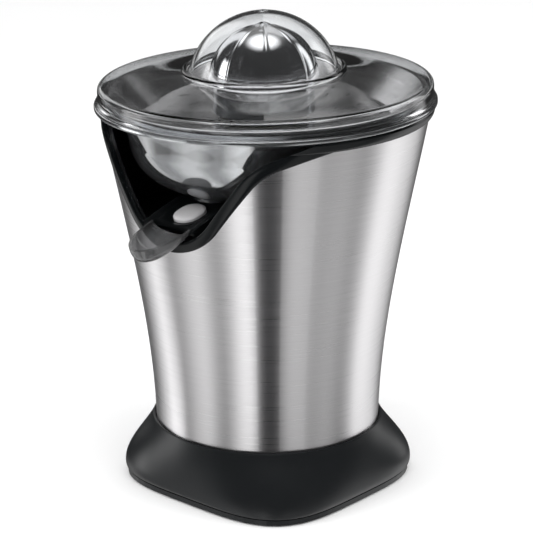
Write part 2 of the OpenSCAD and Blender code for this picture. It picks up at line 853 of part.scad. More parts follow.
// Half-round trough section, then a ball at the tip
module nose_form(half, drop, tip, out) {
    hull() {
        rotate([90, 0, 0]) resize([2 * half, 2 * drop, 1])
            cylinder(h = 1, r = half, $fn = 40);
        translate([0, nose_tip_r - nose_len, nose_tip_up]) sphere(r = tip, $fn = 40);
        if (out > 0) translate([0, nose_tip_r - nose_len, out]) cylinder(h = 1, r = tip, $fn = 32);
    }
}

module spout_nose() {
    color([0.35, 0.35, 0.36, 0.7]) on_spout() difference() {
        nose_form(nose_w / 2 - 0.5, nose_drop, nose_tip_r, 0);
        translate([-nose_w, -nose_len - 5, nose_rise]) cube([2 * nose_w, nose_len + 20, 20]);
        translate([0, 1, 0])
            nose_form(nose_w / 2 - 0.5 - nose_wall, nose_drop - nose_wall, nose_tip_r - nose_wall, 9);
        translate([0, nose_tip_r - nose_len, -20]) cylinder(h = 20, r = nose_hole_r, $fn = 32);
    }
}

module nose_pins() {
    color("#2a2b2d") on_spout() for (side = [-1, 1])
        translate([side * (nose_w / 2 - 2), pin_y, 0]) rotate([0, side * 90, 0])
            cylinder(h = ridge_w + pin_reach, r = pin_r);
}

// ------------------------------------------------------------------ sieve, cone and lid

module sieve() {
    floor_z = flange_z - sieve_depth;
    rim_z = flange_z + sieve_rim_z;
    color("#b9babd") difference() {
        rotate_extrude() polygon([
            [sieve_hole_r, floor_z - sieve_t], [sieve_floor_r, floor_z - sieve_t],
            [sieve_rim_r - sieve_turn, rim_z - sieve_t], [sieve_rim_r, rim_z - sieve_t],
            [sieve_rim_r, rim_z], [sieve_rim_r - sieve_turn - 0.5, rim_z],
            [sieve_floor_r - 0.4, floor_z], [sieve_hole_r, floor_z]]);
        for (ring = [0:1], i = [0:slot_count + more_slots * ring - 1])
            rotate([0, 0, 360 * (i + ring / 2) / (slot_count + more_slots * ring)])
                translate([slot_ring_r + slot_ring_step * ring, 0, floor_z - 2]) rotate([0, 0, slot_lean])
                    linear_extrude(height = 4) stadium(slot_len, slot_w);
    }
}

module slip_washer() {
    color("#d7d6d0") translate([0, 0, washer_z]) tube(washer_t, washer_r, shaft_r + 1);
}

// Radius-height line of the cone from its foot to its tip
function cone_line(off) =
    let (h = cone_tip - cone_foot - 2)
    concat(
        [for (i = [0:11]) let (a = 7.4 * i) [(cone_r - off) * pow(cos(a), 0.92),
            flange_z + cone_foot + (h - off) * sin(a)]],
        [[0, flange_z + cone_tip - off * 2]]);

module cone() {
    foot = flange_z + cone_foot;
    neck = flange_z + 3;
    color("#c9cacc") difference() {
        union() {
            rotate_extrude() polygon(concat([[0, foot]], cone_line(0)));
            for (i = [0:rib_count - 1]) rotate([0, 0, 360 * i / rib_count + 90 / rib_count])
                rotate([90, 0, 0]) translate([0, 0, -0.4]) linear_extrude(height = 0.8)
                    polygon(concat([[0, foot]], cone_line(-0.5)));
            rotate_extrude() polygon(concat(
                [[core_r + 0.05, foot + 0.1], [core_r + 0.05, neck]],
                [for (i = [0:6]) let (a = 90 * i / 6)
                    [core_r + 0.5 + 1.9 * (1 - cos(a)), neck + 6 * sin(a)]],
                [[cone_r + 0.9, foot - 2.2], [cone_r + 0.9, foot - 0.4], [cone_r, foot + 0.1]]));
        }
        rotate_extrude() polygon(concat([[0, foot - 1]], [[cone_r - 1.2, foot - 1]], cone_line(1.2)));
    }
}

module cone_core() {
    web_z = flange_z + cone_foot - 4;
    color("#3c3f43") difference() {
        union() {
            difference() {
                translate([0, 0, core_foot]) cylinder(h = web_z + 2 - core_foot, r = core_r);
                translate([0, 0, core_foot - 1])
                    cylinder(h = web_z + 1 - core_foot, r = core_r - core_wall);
            }
            translate([0, 0, core_foot]) cylinder(h = flange_z + core_rise - core_foot, r = socket_r);
            for (i = [0:3]) rotate([0, 0, 90 * i + 45]) translate([0, -1, core_foot + 3])
                cube([core_r - 1, 2, web_z - core_foot - 2]);
        }
        translate([0, 0, core_foot - 1])
            cylinder(h = shaft_top + 1.5 - core_foot, r = shaft_r + hex_gap, $fn = 6);
    }
}

module lid() {
    skirt_foot = flange_z + flange_t / 2 + lift_gap;
    edge = flange_z + lid_edge;
    joint_z = edge + joint_rise;
    color([0.85, 0.9, 0.93, 0.35]) {
        difference() {
            union() {
                rotate_extrude() polygon(concat(
                    [[0, skirt_foot], [lid_r + 1, skirt_foot], [lid_r + 1, skirt_foot + 1.5],
                     [lid_r, skirt_foot + 2.5]],
                    [for (i = [0:5]) let (a = 90 * i / 5)
                        [lid_r - lid_round * (1 - cos(a)), edge - lid_round * (1 - sin(a))]],
                    [[joint_r, joint_z], [0, joint_z]]));
                intersection() {
                    translate([0, 0, flange_z + dome_z]) sphere(r = dome_r);
                    translate([0, 0, edge]) cylinder(h = 2 * dome_r, r = dome_r + 1);
                }
                rotate_extrude() translate([joint_r + 2.4, joint_z + 0.8]) circle(r = bead_r, $fn = 24);
                translate([0, 0, flange_z + dome_z + dome_r - 0.6]) cylinder(h = 1.4, r = nub_r);
            }
            rotate_extrude() polygon(concat(
                [[0, skirt_foot - 1], [lid_r - lid_wall, skirt_foot - 1]],
                [for (i = [0:5]) let (a = 90 * i / 5)
                    [lid_r - lid_round + (lid_round - lid_wall) * cos(a),
                     edge - lid_round + (lid_round - lid_wall) * sin(a)]],
                [[joint_r, joint_z - lid_wall], [0, joint_z - lid_wall]]));
            translate([0, 0, flange_z + dome_z]) sphere(r = dome_r - lid_wall);
        }
    }
}

base_plate();
rubber_feet();
base_screws();
base_skirt();
cord_inlet();
body_sleeve();
body_trim();
inner_housing();
shaft_bushes();
motor_can();
motor_end_cap();
motor_field();
carbon_brushes();
motor_rotor();
motor_pinion();
gear_tray();
gear_cover();
gearbox_screws();
idler_pin();
idler_gear();
output_gear();
drive_shaft();
thrust_cup();
return_spring();
micro_switch();
switch_plunger();
bowl();
spout_housing();
spout_button();
spout_nose();
nose_pins();
sieve();
slip_washer();
cone();
cone_core();
lid();
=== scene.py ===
"""Looks of an electric citrus press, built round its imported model."""

import logging
import math
from dataclasses import dataclass, field
from enum import Enum
from typing import Callable, Sequence

import bmesh
import bpy
from mathutils import Matrix, Vector


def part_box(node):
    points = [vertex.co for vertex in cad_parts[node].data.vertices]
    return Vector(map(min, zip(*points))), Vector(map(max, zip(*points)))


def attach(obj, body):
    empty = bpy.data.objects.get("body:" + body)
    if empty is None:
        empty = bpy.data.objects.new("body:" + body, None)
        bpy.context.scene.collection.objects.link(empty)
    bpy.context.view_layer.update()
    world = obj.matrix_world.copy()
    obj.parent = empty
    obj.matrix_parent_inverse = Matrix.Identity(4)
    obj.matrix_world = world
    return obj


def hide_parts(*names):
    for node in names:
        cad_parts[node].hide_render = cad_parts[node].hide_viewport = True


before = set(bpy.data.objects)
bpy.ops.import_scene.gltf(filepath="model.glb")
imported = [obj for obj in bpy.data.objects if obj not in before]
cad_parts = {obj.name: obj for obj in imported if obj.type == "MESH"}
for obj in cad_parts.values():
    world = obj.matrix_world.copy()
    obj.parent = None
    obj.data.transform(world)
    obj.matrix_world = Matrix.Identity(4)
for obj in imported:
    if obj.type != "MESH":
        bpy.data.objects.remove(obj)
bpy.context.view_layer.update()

MM = 0.001
log = logging.getLogger("press")

Point = tuple[float, float]
Corner = tuple[float, float, float]
Rows = Sequence[Sequence[Vector]]


# ---------------------------------------------------------------- curves

def arc(centre: Point, radius: float, start: float, end: float, steps: int) -> list[Point]:
    """Points on a circle's arc.

    Args:
        centre: Middle of the circle.
        radius: Its radius.
        start: First angle, in degrees.
        end: Last angle, in degrees.
        steps: Number of stretches between the points.

    Returns:
        The points, both ends included.
    """
    angles = [math.radians(start + (end - start) * i / steps) for i in range(steps + 1)]
    return [(centre[0] + radius * math.cos(a), centre[1] + radius * math.sin(a)) for a in angles]


def filleted(corners: Sequence[Corner], steps: int = 6) -> list[Point]:
    """A closed outline whose corners are rounded.

    Args:
        corners: (across, up, fillet radius) of each corner, in order.
        steps: Stretches in each rounded corner.

    Returns:
        The outline's points. A corner with no radius stays sharp.
    """
    out: list[Point] = []
    count = len(corners)
    for i, (x, z, radius) in enumerate(corners):
        here = Vector((x, z))
        back = Vector(corners[i - 1][:2]) - here
        ahead = Vector(corners[(i + 1) % count][:2]) - here
        if radius <= 0 or back.length < 1e-9 or ahead.length < 1e-9:
            out.append((x, z))
            continue
        lengths = (back.length, ahead.length)
        back.normalize()
        ahead.normalize()
        half = math.acos(max(-1.0, min(1.0, back.dot(ahead)))) / 2
        if half > math.radians(89):
            out.append((x, z))
            continue
        reach = min(radius / math.tan(half), 0.48 * lengths[0], 0.48 * lengths[1])
        centre = here + (back + ahead).normalized() * (reach / math.cos(half))
        first = here + back * reach - centre
        last = here + ahead * reach - centre
        turn = math.atan2(first.x * last.y - first.y * last.x, first.dot(last))
        for k in range(steps + 1):
            a = turn * k / steps
            c, s = math.cos(a), math.sin(a)
            out.append((centre.x + first.x * c - first.y * s, centre.y + first.x * s + first.y * c))
    return out


def between(low: float, high: float, share: float) -> float:
    """The value that lies a share of the way from low to high."""
    return low + (high - low) * share


def smooth(low: float, high: float, value: float) -> float:
    """A soft step from 0 at low to 1 at high."""
    t = max(0.0, min(1.0, (value - low) / (high - low)))
    return t * t * (3 - 2 * t)


def interpolate(value: float, xs: Sequence[float], ys: Sequence[float]) -> float:
    """The height of a polyline over a place.

    Args:
        value: The place.
        xs: Places of the polyline's points, rising.
        ys: Heights of its points.

    Returns:
        The height, held level past both ends.
    """
    if value <= xs[0]:
        return ys[0]
    for i in range(1, len(xs)):
        if value <= xs[i]:
            return between(ys[i - 1], ys[i], (value - xs[i - 1]) / max(1e-12, xs[i] - xs[i - 1]))
    return ys[-1]


# ---------------------------------------------------------------- meshes

def finish_mesh(mesh: bmesh.types.BMesh, name: str, sharp: float) -> bpy.types.Object:
    """Welds, orients and links a mesh.

    Args:
        mesh: The mesh in the making, which is freed.
        name: The piece's name.
        sharp: Angle in degrees above which an edge stays crisp.

    Returns:
        The new object.
    """
    bmesh.ops.remove_doubles(mesh, verts=mesh.verts, dist=2e-6)
    loose = [f for f in mesh.faces if f.calc_area() < 1e-14]
    bmesh.ops.delete(mesh, geom=loose, context="FACES")
    bmesh.ops.recalc_face_normals(mesh, faces=mesh.faces)
    data = bpy.data.meshes.new(name)
    mesh.to_mesh(data)
    mesh.free()
    data.polygons.foreach_set("use_smooth", [True] * len(data.polygons))
    data.set_sharp_from_angle(angle=math.radians(sharp))
    piece = bpy.data.objects.new(name, data)
    bpy.context.scene.collection.objects.link(piece)
    return piece


def skin(name: str, rows: Rows, loop: bool, ring: bool, caps: bool = False,
         sharp: float = 32) -> bpy.types.Object:
    """A piece skinned over rows of points.

    Args:
        name: The piece's name.
        rows: Rows with the same number of points.
        loop: True if the last row joins the first.
        ring: True if each row is closed.
        caps: True to close the first and the last row with a face.
        sharp: Angle in degrees above which an edge stays crisp.

    Returns:
        The new object.
    """
    mesh = bmesh.new()
    grid = [[mesh.verts.new(p) for p in row] for row in rows]
    count, width = len(grid), len(grid[0])
    for i in range(count if loop else count - 1):
        for j in range(width if ring else width - 1):
            k, m = (i + 1) % count, (j + 1) % width
            mesh.faces.new((grid[i][j], grid[k][j], grid[k][m], grid[i][m]))
    if caps:
        mesh.faces.new(grid[0])
        mesh.faces.new(list(reversed(grid[-1])))
    return finish_mesh(mesh, name, sharp)


def on_ring(radius: float, angle: float, z: float) -> Vector:
    """A point at a radius and height; angle 0 faces the spout and grows towards +X."""
    return Vector((radius * math.sin(angle), -radius * math.cos(angle), z))


def lathe(name: str, outline: Sequence[Point], segments: int = 240, sharp: float = 32,
          ripple: Callable[[float, float, float], float] | None = None) -> bpy.types.Object:
    """A closed outline turned about the cone's axis.

    Args:
        name: The piece's name.
        outline: (radius, height) of each point, in metres.
        segments: Steps round the axis.
        sharp: Angle in degrees above which an edge stays crisp.
        ripple: Optional change of radius at (radius, angle, height).

    Returns:
        The new object.
    """
    rows = []
    for i in range(segments):
        a = math.tau * i / segments
        rows.append([on_ring(r + (ripple(r, a, z) if ripple else 0.0), a, z) for r, z in outline])
    return skin(name, rows, loop=True, ring=True, sharp=sharp)


# ---------------------------------------------------------------- finishes

class Shade:
    """A material's node tree, with short calls for the nodes that the finishes share."""

    def __init__(self, name: str) -> None:
        """Starts a material with a Principled shader.

        Args:
            name: The material's name.
        """
        self.material = bpy.data.materials.new(name)
        self.material.use_nodes = True
        self.tree = self.material.node_tree
        self.shader = self.tree.nodes["Principled BSDF"]
        self.place = self.node("ShaderNodeTexCoord").outputs["Object"]

    def node(self, kind: str, **settings: object) -> bpy.types.Node:
        """Adds a node.

        Args:
            kind: Blender's name of the node type.
            **settings: Properties to set on it.

        Returns:
            The node.
        """
        made = self.tree.nodes.new(kind)
        for key, value in settings.items():
            setattr(made, key, value)
        return made

    def plug(self, source: object, target: bpy.types.NodeSocket) -> None:
        """Links an output to a socket, or sets the socket to a plain value."""
        if isinstance(source, bpy.types.NodeSocket):
            self.tree.links.new(source, target)
        else:
            target.default_value = source

    def set(self, **values: object) -> None:
        """Sets the shader's own sockets; underscores in the names stand for spaces."""
        for key, value in values.items():
            self.shader.inputs[key.replace("_", " ")].default_value = value

    def math(self, operation: str, a: object, b: object = 0.0) -> bpy.types.NodeSocket:
        """The result of a Math node.

        Args:
            operation: What the node does.
            a: Its first input, a number or a field.
            b: Its second input.

        Returns:
            The result.
        """
        made = self.node("ShaderNodeMath", operation=operation)
        self.plug(a, made.inputs[0])
        self.plug(b, made.inputs[1])
        return made.outputs[0]

    def stretched(self, scale: Sequence[float]) -> bpy.types.NodeSocket:
        """Object coordinates, stretched.

        Args:
            scale: What each axis is multiplied by.

        Returns:
            The stretched coordinates.
        """
        made = self.node("ShaderNodeMapping")
        self.plug(self.place, made.inputs["Vector"])
        made.inputs["Scale"].default_value = scale
        return made.outputs["Vector"]

    def noise(self, scale: float, detail: float = 3.0,
              stretch: Sequence[float] | None = None) -> bpy.types.NodeSocket:
        """A noise field.

        Args:
            scale: Cells in a metre.
            detail: Octaves.
            stretch: Optional scale for each axis.

        Returns:
            The field, from 0 to 1.
        """
        made = self.node("ShaderNodeTexNoise")
        self.plug(self.stretched(stretch) if stretch else self.place, made.inputs["Vector"])
        made.inputs["Scale"].default_value = scale
        made.inputs["Detail"].default_value = detail
        return made.outputs["Fac"]

    def spread(self, value: bpy.types.NodeSocket, low: float, high: float,
               start: float = 0.3, end: float = 0.7) -> bpy.types.NodeSocket:
        """Maps a field from one range to another.

        Args:
            value: The field.
            low: What start becomes.
            high: What end becomes.
            start: Where the field's range starts.
            end: Where it ends.

        Returns:
            The mapped field.
        """
        made = self.node("ShaderNodeMapRange")
        self.plug(value, made.inputs["Value"])
        made.inputs["From Min"].default_value = start
        made.inputs["From Max"].default_value = end
        made.inputs["To Min"].default_value = low
        made.inputs["To Max"].default_value = high
        return made.outputs["Result"]

    def blend(self, share: object, first: Sequence[float],
              second: Sequence[float]) -> bpy.types.NodeSocket:
        """A colour between two.

        Args:
            share: How much of the second colour.
            first: The first colour.
            second: The second colour.

        Returns:
            The colour.
        """
        made = self.node("ShaderNodeMix", data_type="RGBA")
        self.plug(share, made.inputs["Factor"])
        made.inputs[6].default_value = (*first, 1.0)
        made.inputs[7].default_value = (*second, 1.0)
        return made.outputs[2]

    def mottle(self, value: bpy.types.NodeSocket, colour: Sequence[float],
               dark: float) -> bpy.types.NodeSocket:
        """A colour that goes darker and lighter with a field.

        Args:
            value: The field.
            colour: The light colour.
            dark: Share of it that the dark colour has.

        Returns:
            The colour.
        """
        return self.blend(self.spread(value, 0.0, 1.0), tuple(dark * c for c in colour), colour)

    def bump(self, height: bpy.types.NodeSocket, strength: float, distance: float,
             under: bpy.types.NodeSocket | None = None) -> bpy.types.NodeSocket:
        """A bumped normal.

        Args:
            height: The height field.
            strength: Share of the bump that shows.
            distance: Depth in metres.
            under: Optional normal to add to.

        Returns:
            The normal.
        """
        made = self.node("ShaderNodeBump")
        made.inputs["Strength"].default_value = strength
        made.inputs["Distance"].default_value = distance
        self.plug(height, made.inputs["Height"])
        if under is not None:
            self.plug(under, made.inputs["Normal"])
        return made.outputs["Normal"]

    def feed(self, **sources: bpy.types.NodeSocket) -> None:
        """Links fields to the shader's sockets; underscores stand for spaces."""
        for key, value in sources.items():
            self.plug(value, self.shader.inputs[key.replace("_", " ")])


@dataclass(frozen=True)
class BrushedSteel:
    """Steel with grooves that run round the axis, so that lights smear up and down."""

    name: str
    tint: tuple[float, float, float] = (0.80, 0.79, 0.80)
    roughness: float = 0.3
    anisotropy: float = 0.9
    sway: float = 0.03
    grooves: float = 2600.0
    along: float = 14.0

    def make(self) -> bpy.types.Material:
        """Builds the material.

        Returns:
            The material, with streaks in colour, in roughness and in the way it reflects.
        """
        s = Shade(self.name)
        s.set(Metallic=1.0, Anisotropic=self.anisotropy, Anisotropic_Rotation=0.25)
        turn = s.node("ShaderNodeTangent", direction_type="RADIAL", axis="Z")
        s.plug(turn.outputs["Tangent"], s.shader.inputs["Tangent"])
        fine = s.noise(1.0, 2.0, (self.along, self.along, self.grooves))
        long = s.noise(1.0, 1.0, (self.along * 0.4, self.along * 0.4, self.grooves * 0.24))
        both = s.math("ADD", s.math("MULTIPLY", fine, 0.72), s.math("MULTIPLY", long, 0.28))
        s.feed(Base_Color=s.mottle(both, self.tint, 0.86),
               Roughness=s.spread(both, self.roughness * 0.88, self.roughness * 1.12))
        lean = s.node("ShaderNodeVectorMath", operation="SCALE")
        s.plug(turn.outputs["Tangent"], lean.inputs[0])
        s.plug(s.math("MULTIPLY", s.math("SUBTRACT", both, 0.5), self.sway), lean.inputs["Scale"])
        tipped = s.node("ShaderNodeVectorMath", operation="ADD")
        s.plug(s.node("ShaderNodeNewGeometry").outputs["Normal"], tipped.inputs[0])
        s.plug(lean.outputs[0], tipped.inputs[1])
        unit = s.node("ShaderNodeVectorMath", operation="NORMALIZE")
        s.plug(tipped.outputs[0], unit.inputs[0])
        s.feed(Normal=unit.outputs[0])
        return s.material


@dataclass(frozen=True)
class PolishedSteel:
    """Bright pressed steel with faint polishing marks."""

    name: str
    tint: tuple[float, float, float] = (0.78, 0.78, 0.79)
    roughness: float = 0.1

    def make(self) -> bpy.types.Material:
        """Builds the material, with cloudy roughness and a trace of waviness."""
        s = Shade(self.name)
        s.set(Metallic=1.0)
        cloud = s.noise(70.0, 4.0)
        marks = s.noise(900.0, 2.0)
        s.feed(Base_Color=s.mottle(cloud, self.tint, 0.93),
               Roughness=s.spread(cloud, self.roughness * 0.8, self.roughness * 1.3),
               Normal=s.bump(marks, 0.08, 0.00002, s.bump(s.noise(14.0, 1.0), 0.2, 0.0004)))
        return s.material


@dataclass(frozen=True)
class Clear:
    """Clear moulded plastic."""

    name: str
    tint: tuple[float, float, float] = (0.965, 0.975, 0.985)
    roughness: float = 0.02
    index: float = 1.46
    wave: float = 0.12
    clear: float = 1.0
    mirror: float = 0.0

    def make(self) -> bpy.types.Material:
        """Builds the material, with flow marks and a few faint smears."""
        s = Shade(self.name)
        s.set(Transmission_Weight=self.clear, Metallic=self.mirror, IOR=self.index)
        smear = s.noise(24.0, 4.0)
        s.feed(Base_Color=s.mottle(smear, self.tint, 0.985),
               Roughness=s.spread(smear, self.roughness * 0.6, self.roughness * 1.8),
               Normal=s.bump(s.noise(18.0, 1.5), self.wave, 0.0004))
        return s.material


class Grain(Enum):
    """How a moulded surface is textured."""

    GLOSS = "gloss"
    SATIN = "satin"
    MATTE = "matte"


@dataclass(frozen=True)
class Moulded:
    """Opaque moulded plastic or rubber."""

    name: str
    colour: tuple[float, float, float]
    grain: Grain = Grain.SATIN
    roughness: float = 0.45
    shine: float = 0.5

    def make(self) -> bpy.types.Material:
        """Builds the material.

        Returns:
            The material, with the grain's bump and worn patches in colour and roughness.
        """
        s = Shade(self.name)
        s.set(Specular_IOR_Level=self.shine)
        worn = s.noise(38.0, 4.0)
        pits = s.noise({Grain.GLOSS: 260.0, Grain.SATIN: 2400.0, Grain.MATTE: 1500.0}[self.grain], 3.0)
        depth = {Grain.GLOSS: 0.03, Grain.SATIN: 0.2, Grain.MATTE: 0.35}[self.grain]
        if self.grain is Grain.GLOSS:
            s.set(Coat_Weight=0.12, Coat_Roughness=0.06)
        light = tuple(min(1.0, 1.25 * c + 0.001) for c in self.colour)
        speck = s.math("ADD", s.math("MULTIPLY", worn, 0.6), s.math("MULTIPLY", pits, 0.4))
        s.feed(Base_Color=s.blend(s.spread(speck, 0.0, 1.0), self.colour, light),
               Roughness=s.spread(worn, self.roughness * 0.88, self.roughness * 1.12),
               Normal=s.bump(pits, depth, 0.00006))
        return s.material


@dataclass(frozen=True)
class Flake:
    """Silver paint with fine metal flakes."""

    name: str
    colour: tuple[float, float, float] = (0.8, 0.79, 0.8)

    def make(self) -> bpy.types.Material:
        """Builds the material, with flakes that vary colour and roughness."""
        s = Shade(self.name)
        s.set(Metallic=0.3, Coat_Weight=0.3, Coat_Roughness=0.2)
        flake = s.noise(3200.0, 2.0)
        s.feed(Base_Color=s.mottle(flake, self.colour, 0.85),
               Roughness=s.spread(flake, 0.32, 0.46),
               Normal=s.bump(flake, 0.12, 0.00003))
        return s.material


@dataclass(frozen=True)
class Metal:
    """Plain metal of an inner part, turned, sintered, wound or plated."""

    name: str
    colour: tuple[float, float, float]
    roughness: float = 0.3

    def make(self) -> bpy.types.Material:
        """Builds the material, with stains and turning marks."""
        s = Shade(self.name)
        s.set(Metallic=1.0)
        stain = s.noise(160.0, 4.0)
        marks = s.noise(1.0, 1.0, (120.0, 120.0, 3000.0))
        s.feed(Base_Color=s.mottle(stain, self.colour, 0.75),
               Roughness=s.spread(stain, self.roughness * 0.8, self.roughness * 1.2),
               Normal=s.bump(marks, 0.15, 0.00004))
        return s.material


# ---------------------------------------------------------------- shared form

@dataclass
class Form:
    """Sizes that several pieces share, in metres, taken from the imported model."""

    flange_z: float = field(init=False)
    flange_r: float = field(init=False)
    foot_z: float = 39.0 * MM
    foot_r: float = 67.5 * MM
    top_r: float = 97.2 * MM
    lean_foot: float = 0.02
    lean_top: float = 0.183
    flange_t: float = 2.5 * MM

    def __post_init__(self) -> None:
        """Reads the flange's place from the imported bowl."""
        low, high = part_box("bowl")
        self.flange_z = high.z - self.flange_t / 2
        self.flange_r = high.x

    def sleeve_r(self, z: float) -> float:
        """Outer radius of the steel sleeve at a height."""
        h = self.flange_z - self.foot_z
        s = (z - self.foot_z) / h
        return (self.foot_r + self.lean_foot * h * (s - 2 * s * s + s ** 3)
                + (self.top_r - self.foot_r) * (3 * s * s - 2 * s ** 3)
                + self.lean_top * h * (s ** 3 - s * s))


@dataclass
class Notch:
    """The notch in the sleeve's front, as its outline seen from the front."""

    form: Form
    drop: float = 73.0 * MM
    bottom_r: float = 42.0 * MM
    side: float = 53.0
    side_len: float = 35.0 * MM
    shoulder_r: float = 40.0 * MM
    top: float = 25.6
    reach: float = 20.0 * MM

    def half(self, inset: float, fine: int = 20) -> list[Point]:
        """Right half of the outline, from its lowest point up.

        Args:
            inset: How much narrower than the steel's edge.
            fine: Steps in the round bottom and in the shoulder.

        Returns:
            (across, height) of each point, in the row frame.
        """
        side, top = math.radians(self.side), math.radians(self.top)
        low_z = self.form.flange_z - self.drop + self.bottom_r
        turn_x = (self.bottom_r + self.shoulder_r) * math.sin(side) + self.side_len * math.cos(side)
        turn_z = low_z - (self.bottom_r + self.shoulder_r) * math.cos(side) + self.side_len * math.sin(side)
        points = [((self.bottom_r - inset) * math.sin(side * i / fine),
                   low_z - (self.bottom_r - inset) * math.cos(side * i / fine)) for i in range(fine + 1)]
        start = points[-1]
        shoulder = []
        for i in range(fine + 1):
            a = between(side, top, i / fine)
            shoulder.append((turn_x - (self.shoulder_r + inset) * math.sin(a),
                             turn_z + (self.shoulder_r + inset) * math.cos(a)))
        for i in range(1, 8):
            points.append((between(start[0], shoulder[0][0], i / 8),
                           between(start[1], shoulder[0][1], i / 8)))
        points += shoulder
        end = shoulder[-1]
        run = (self.form.flange_z + self.reach - end[1]) / math.sin(top)
        for i in range(1, 13):
            points.append((end[0] + run * math.cos(top) * i / 12, end[1] + run * math.sin(top) * i / 12))
        return points


# ---------------------------------------------------------------- sub-assemblies

@dataclass
class Base:
    """The flared base on its plate and feet."""

    form: Form
    square: float = 3.7
    flare: float = 1.3
    wall: float = 2.5 * MM
    seam: float = 0.6 * MM
    widest: float = 8.8 * MM
    lip_in: float = 1.6 * MM
    neck_out: float = 1.9 * MM
    neck_gap: float = 0.5 * MM
    sides: int = 288

    def square_r(self, half: float, a: float) -> float:
        """Radius of the rounded square at an angle."""
        e = self.square
        return half / (abs(math.cos(a)) ** e + abs(math.sin(a)) ** e) ** (1 / e)

    def section(self, a: float, half: float) -> list[Point]:
        """Section of the skirt at an angle.

        Args:
            a: The angle.
            half: Half width across the flats.

        Returns:
            (radius, height) round the closed section.
        """
        top = self.form.foot_z + 0.6 * MM
        neck = self.form.foot_r + self.neck_out
        plate_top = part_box("base_plate")[1].z

        def face_r(z: float, inset: float) -> float:
            """Radius of the flared face at a height, set in by inset."""
            share = 1.0 if z <= self.widest else math.sin(
                math.pi / 2 * max(0.0, (top - z) / (top - self.widest))) ** self.flare
            return between(neck - inset, self.square_r(half - inset, a), share)

        lip_h = self.widest - plate_top - self.seam
        edge = [(neck - 0.9 * MM, top), (neck - 0.45 * MM, top - 0.05 * MM),
                (neck - 0.12 * MM, top - 0.3 * MM)]
        rows = 34
        face = [(face_r(z, 0), z) for z in
                (between(top - 0.7 * MM, self.widest, i / rows) for i in range(rows + 1))]
        lip = [(face_r(self.widest, 0) - self.lip_in * (1 - math.cos(t)),
                self.widest - lip_h * math.sin(t) / math.sin(math.radians(78)))
               for t in (math.radians(13 * i) for i in range(1, 7))]
        last = lip[-1]
        under = [(last[0] - 0.5 * MM, plate_top + self.seam - 0.05 * MM),
                 (last[0] - 1.6 * MM, plate_top + self.seam),
                 (last[0] - 1.8 * MM, plate_top)]
        inner = [(face_r(z, self.wall + 1.4 * MM), z) for z in
                 (between(plate_top, top - 9 * MM, i / 8) for i in range(9))]
        seat = self.form.foot_r + self.neck_gap
        ledge = self.form.foot_z - 4.1 * MM
        shelf = [(seat - 3 * MM, ledge), (seat, ledge), (seat, top - 0.3 * MM)]
        return edge + face + lip + under + inner + shelf

    def build(self, satin: bpy.types.Material) -> list[bpy.types.Object]:
        """Builds the skirt.

        Args:
            satin: Finish of the moulded base.

        Returns:
            The pieces made.
        """
        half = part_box("base_skirt")[1].x
        rows = []
        for i in range(self.sides):
            a = math.tau * i / self.sides
            rows.append([on_ring(r, a, z) for r, z in self.section(a, half)])
        skirt = skin("base_skirt_shell", rows, loop=True, ring=True, sharp=40)
        dress(skirt, satin, "housing", "black_base", "base_skirt")
        return [skirt]


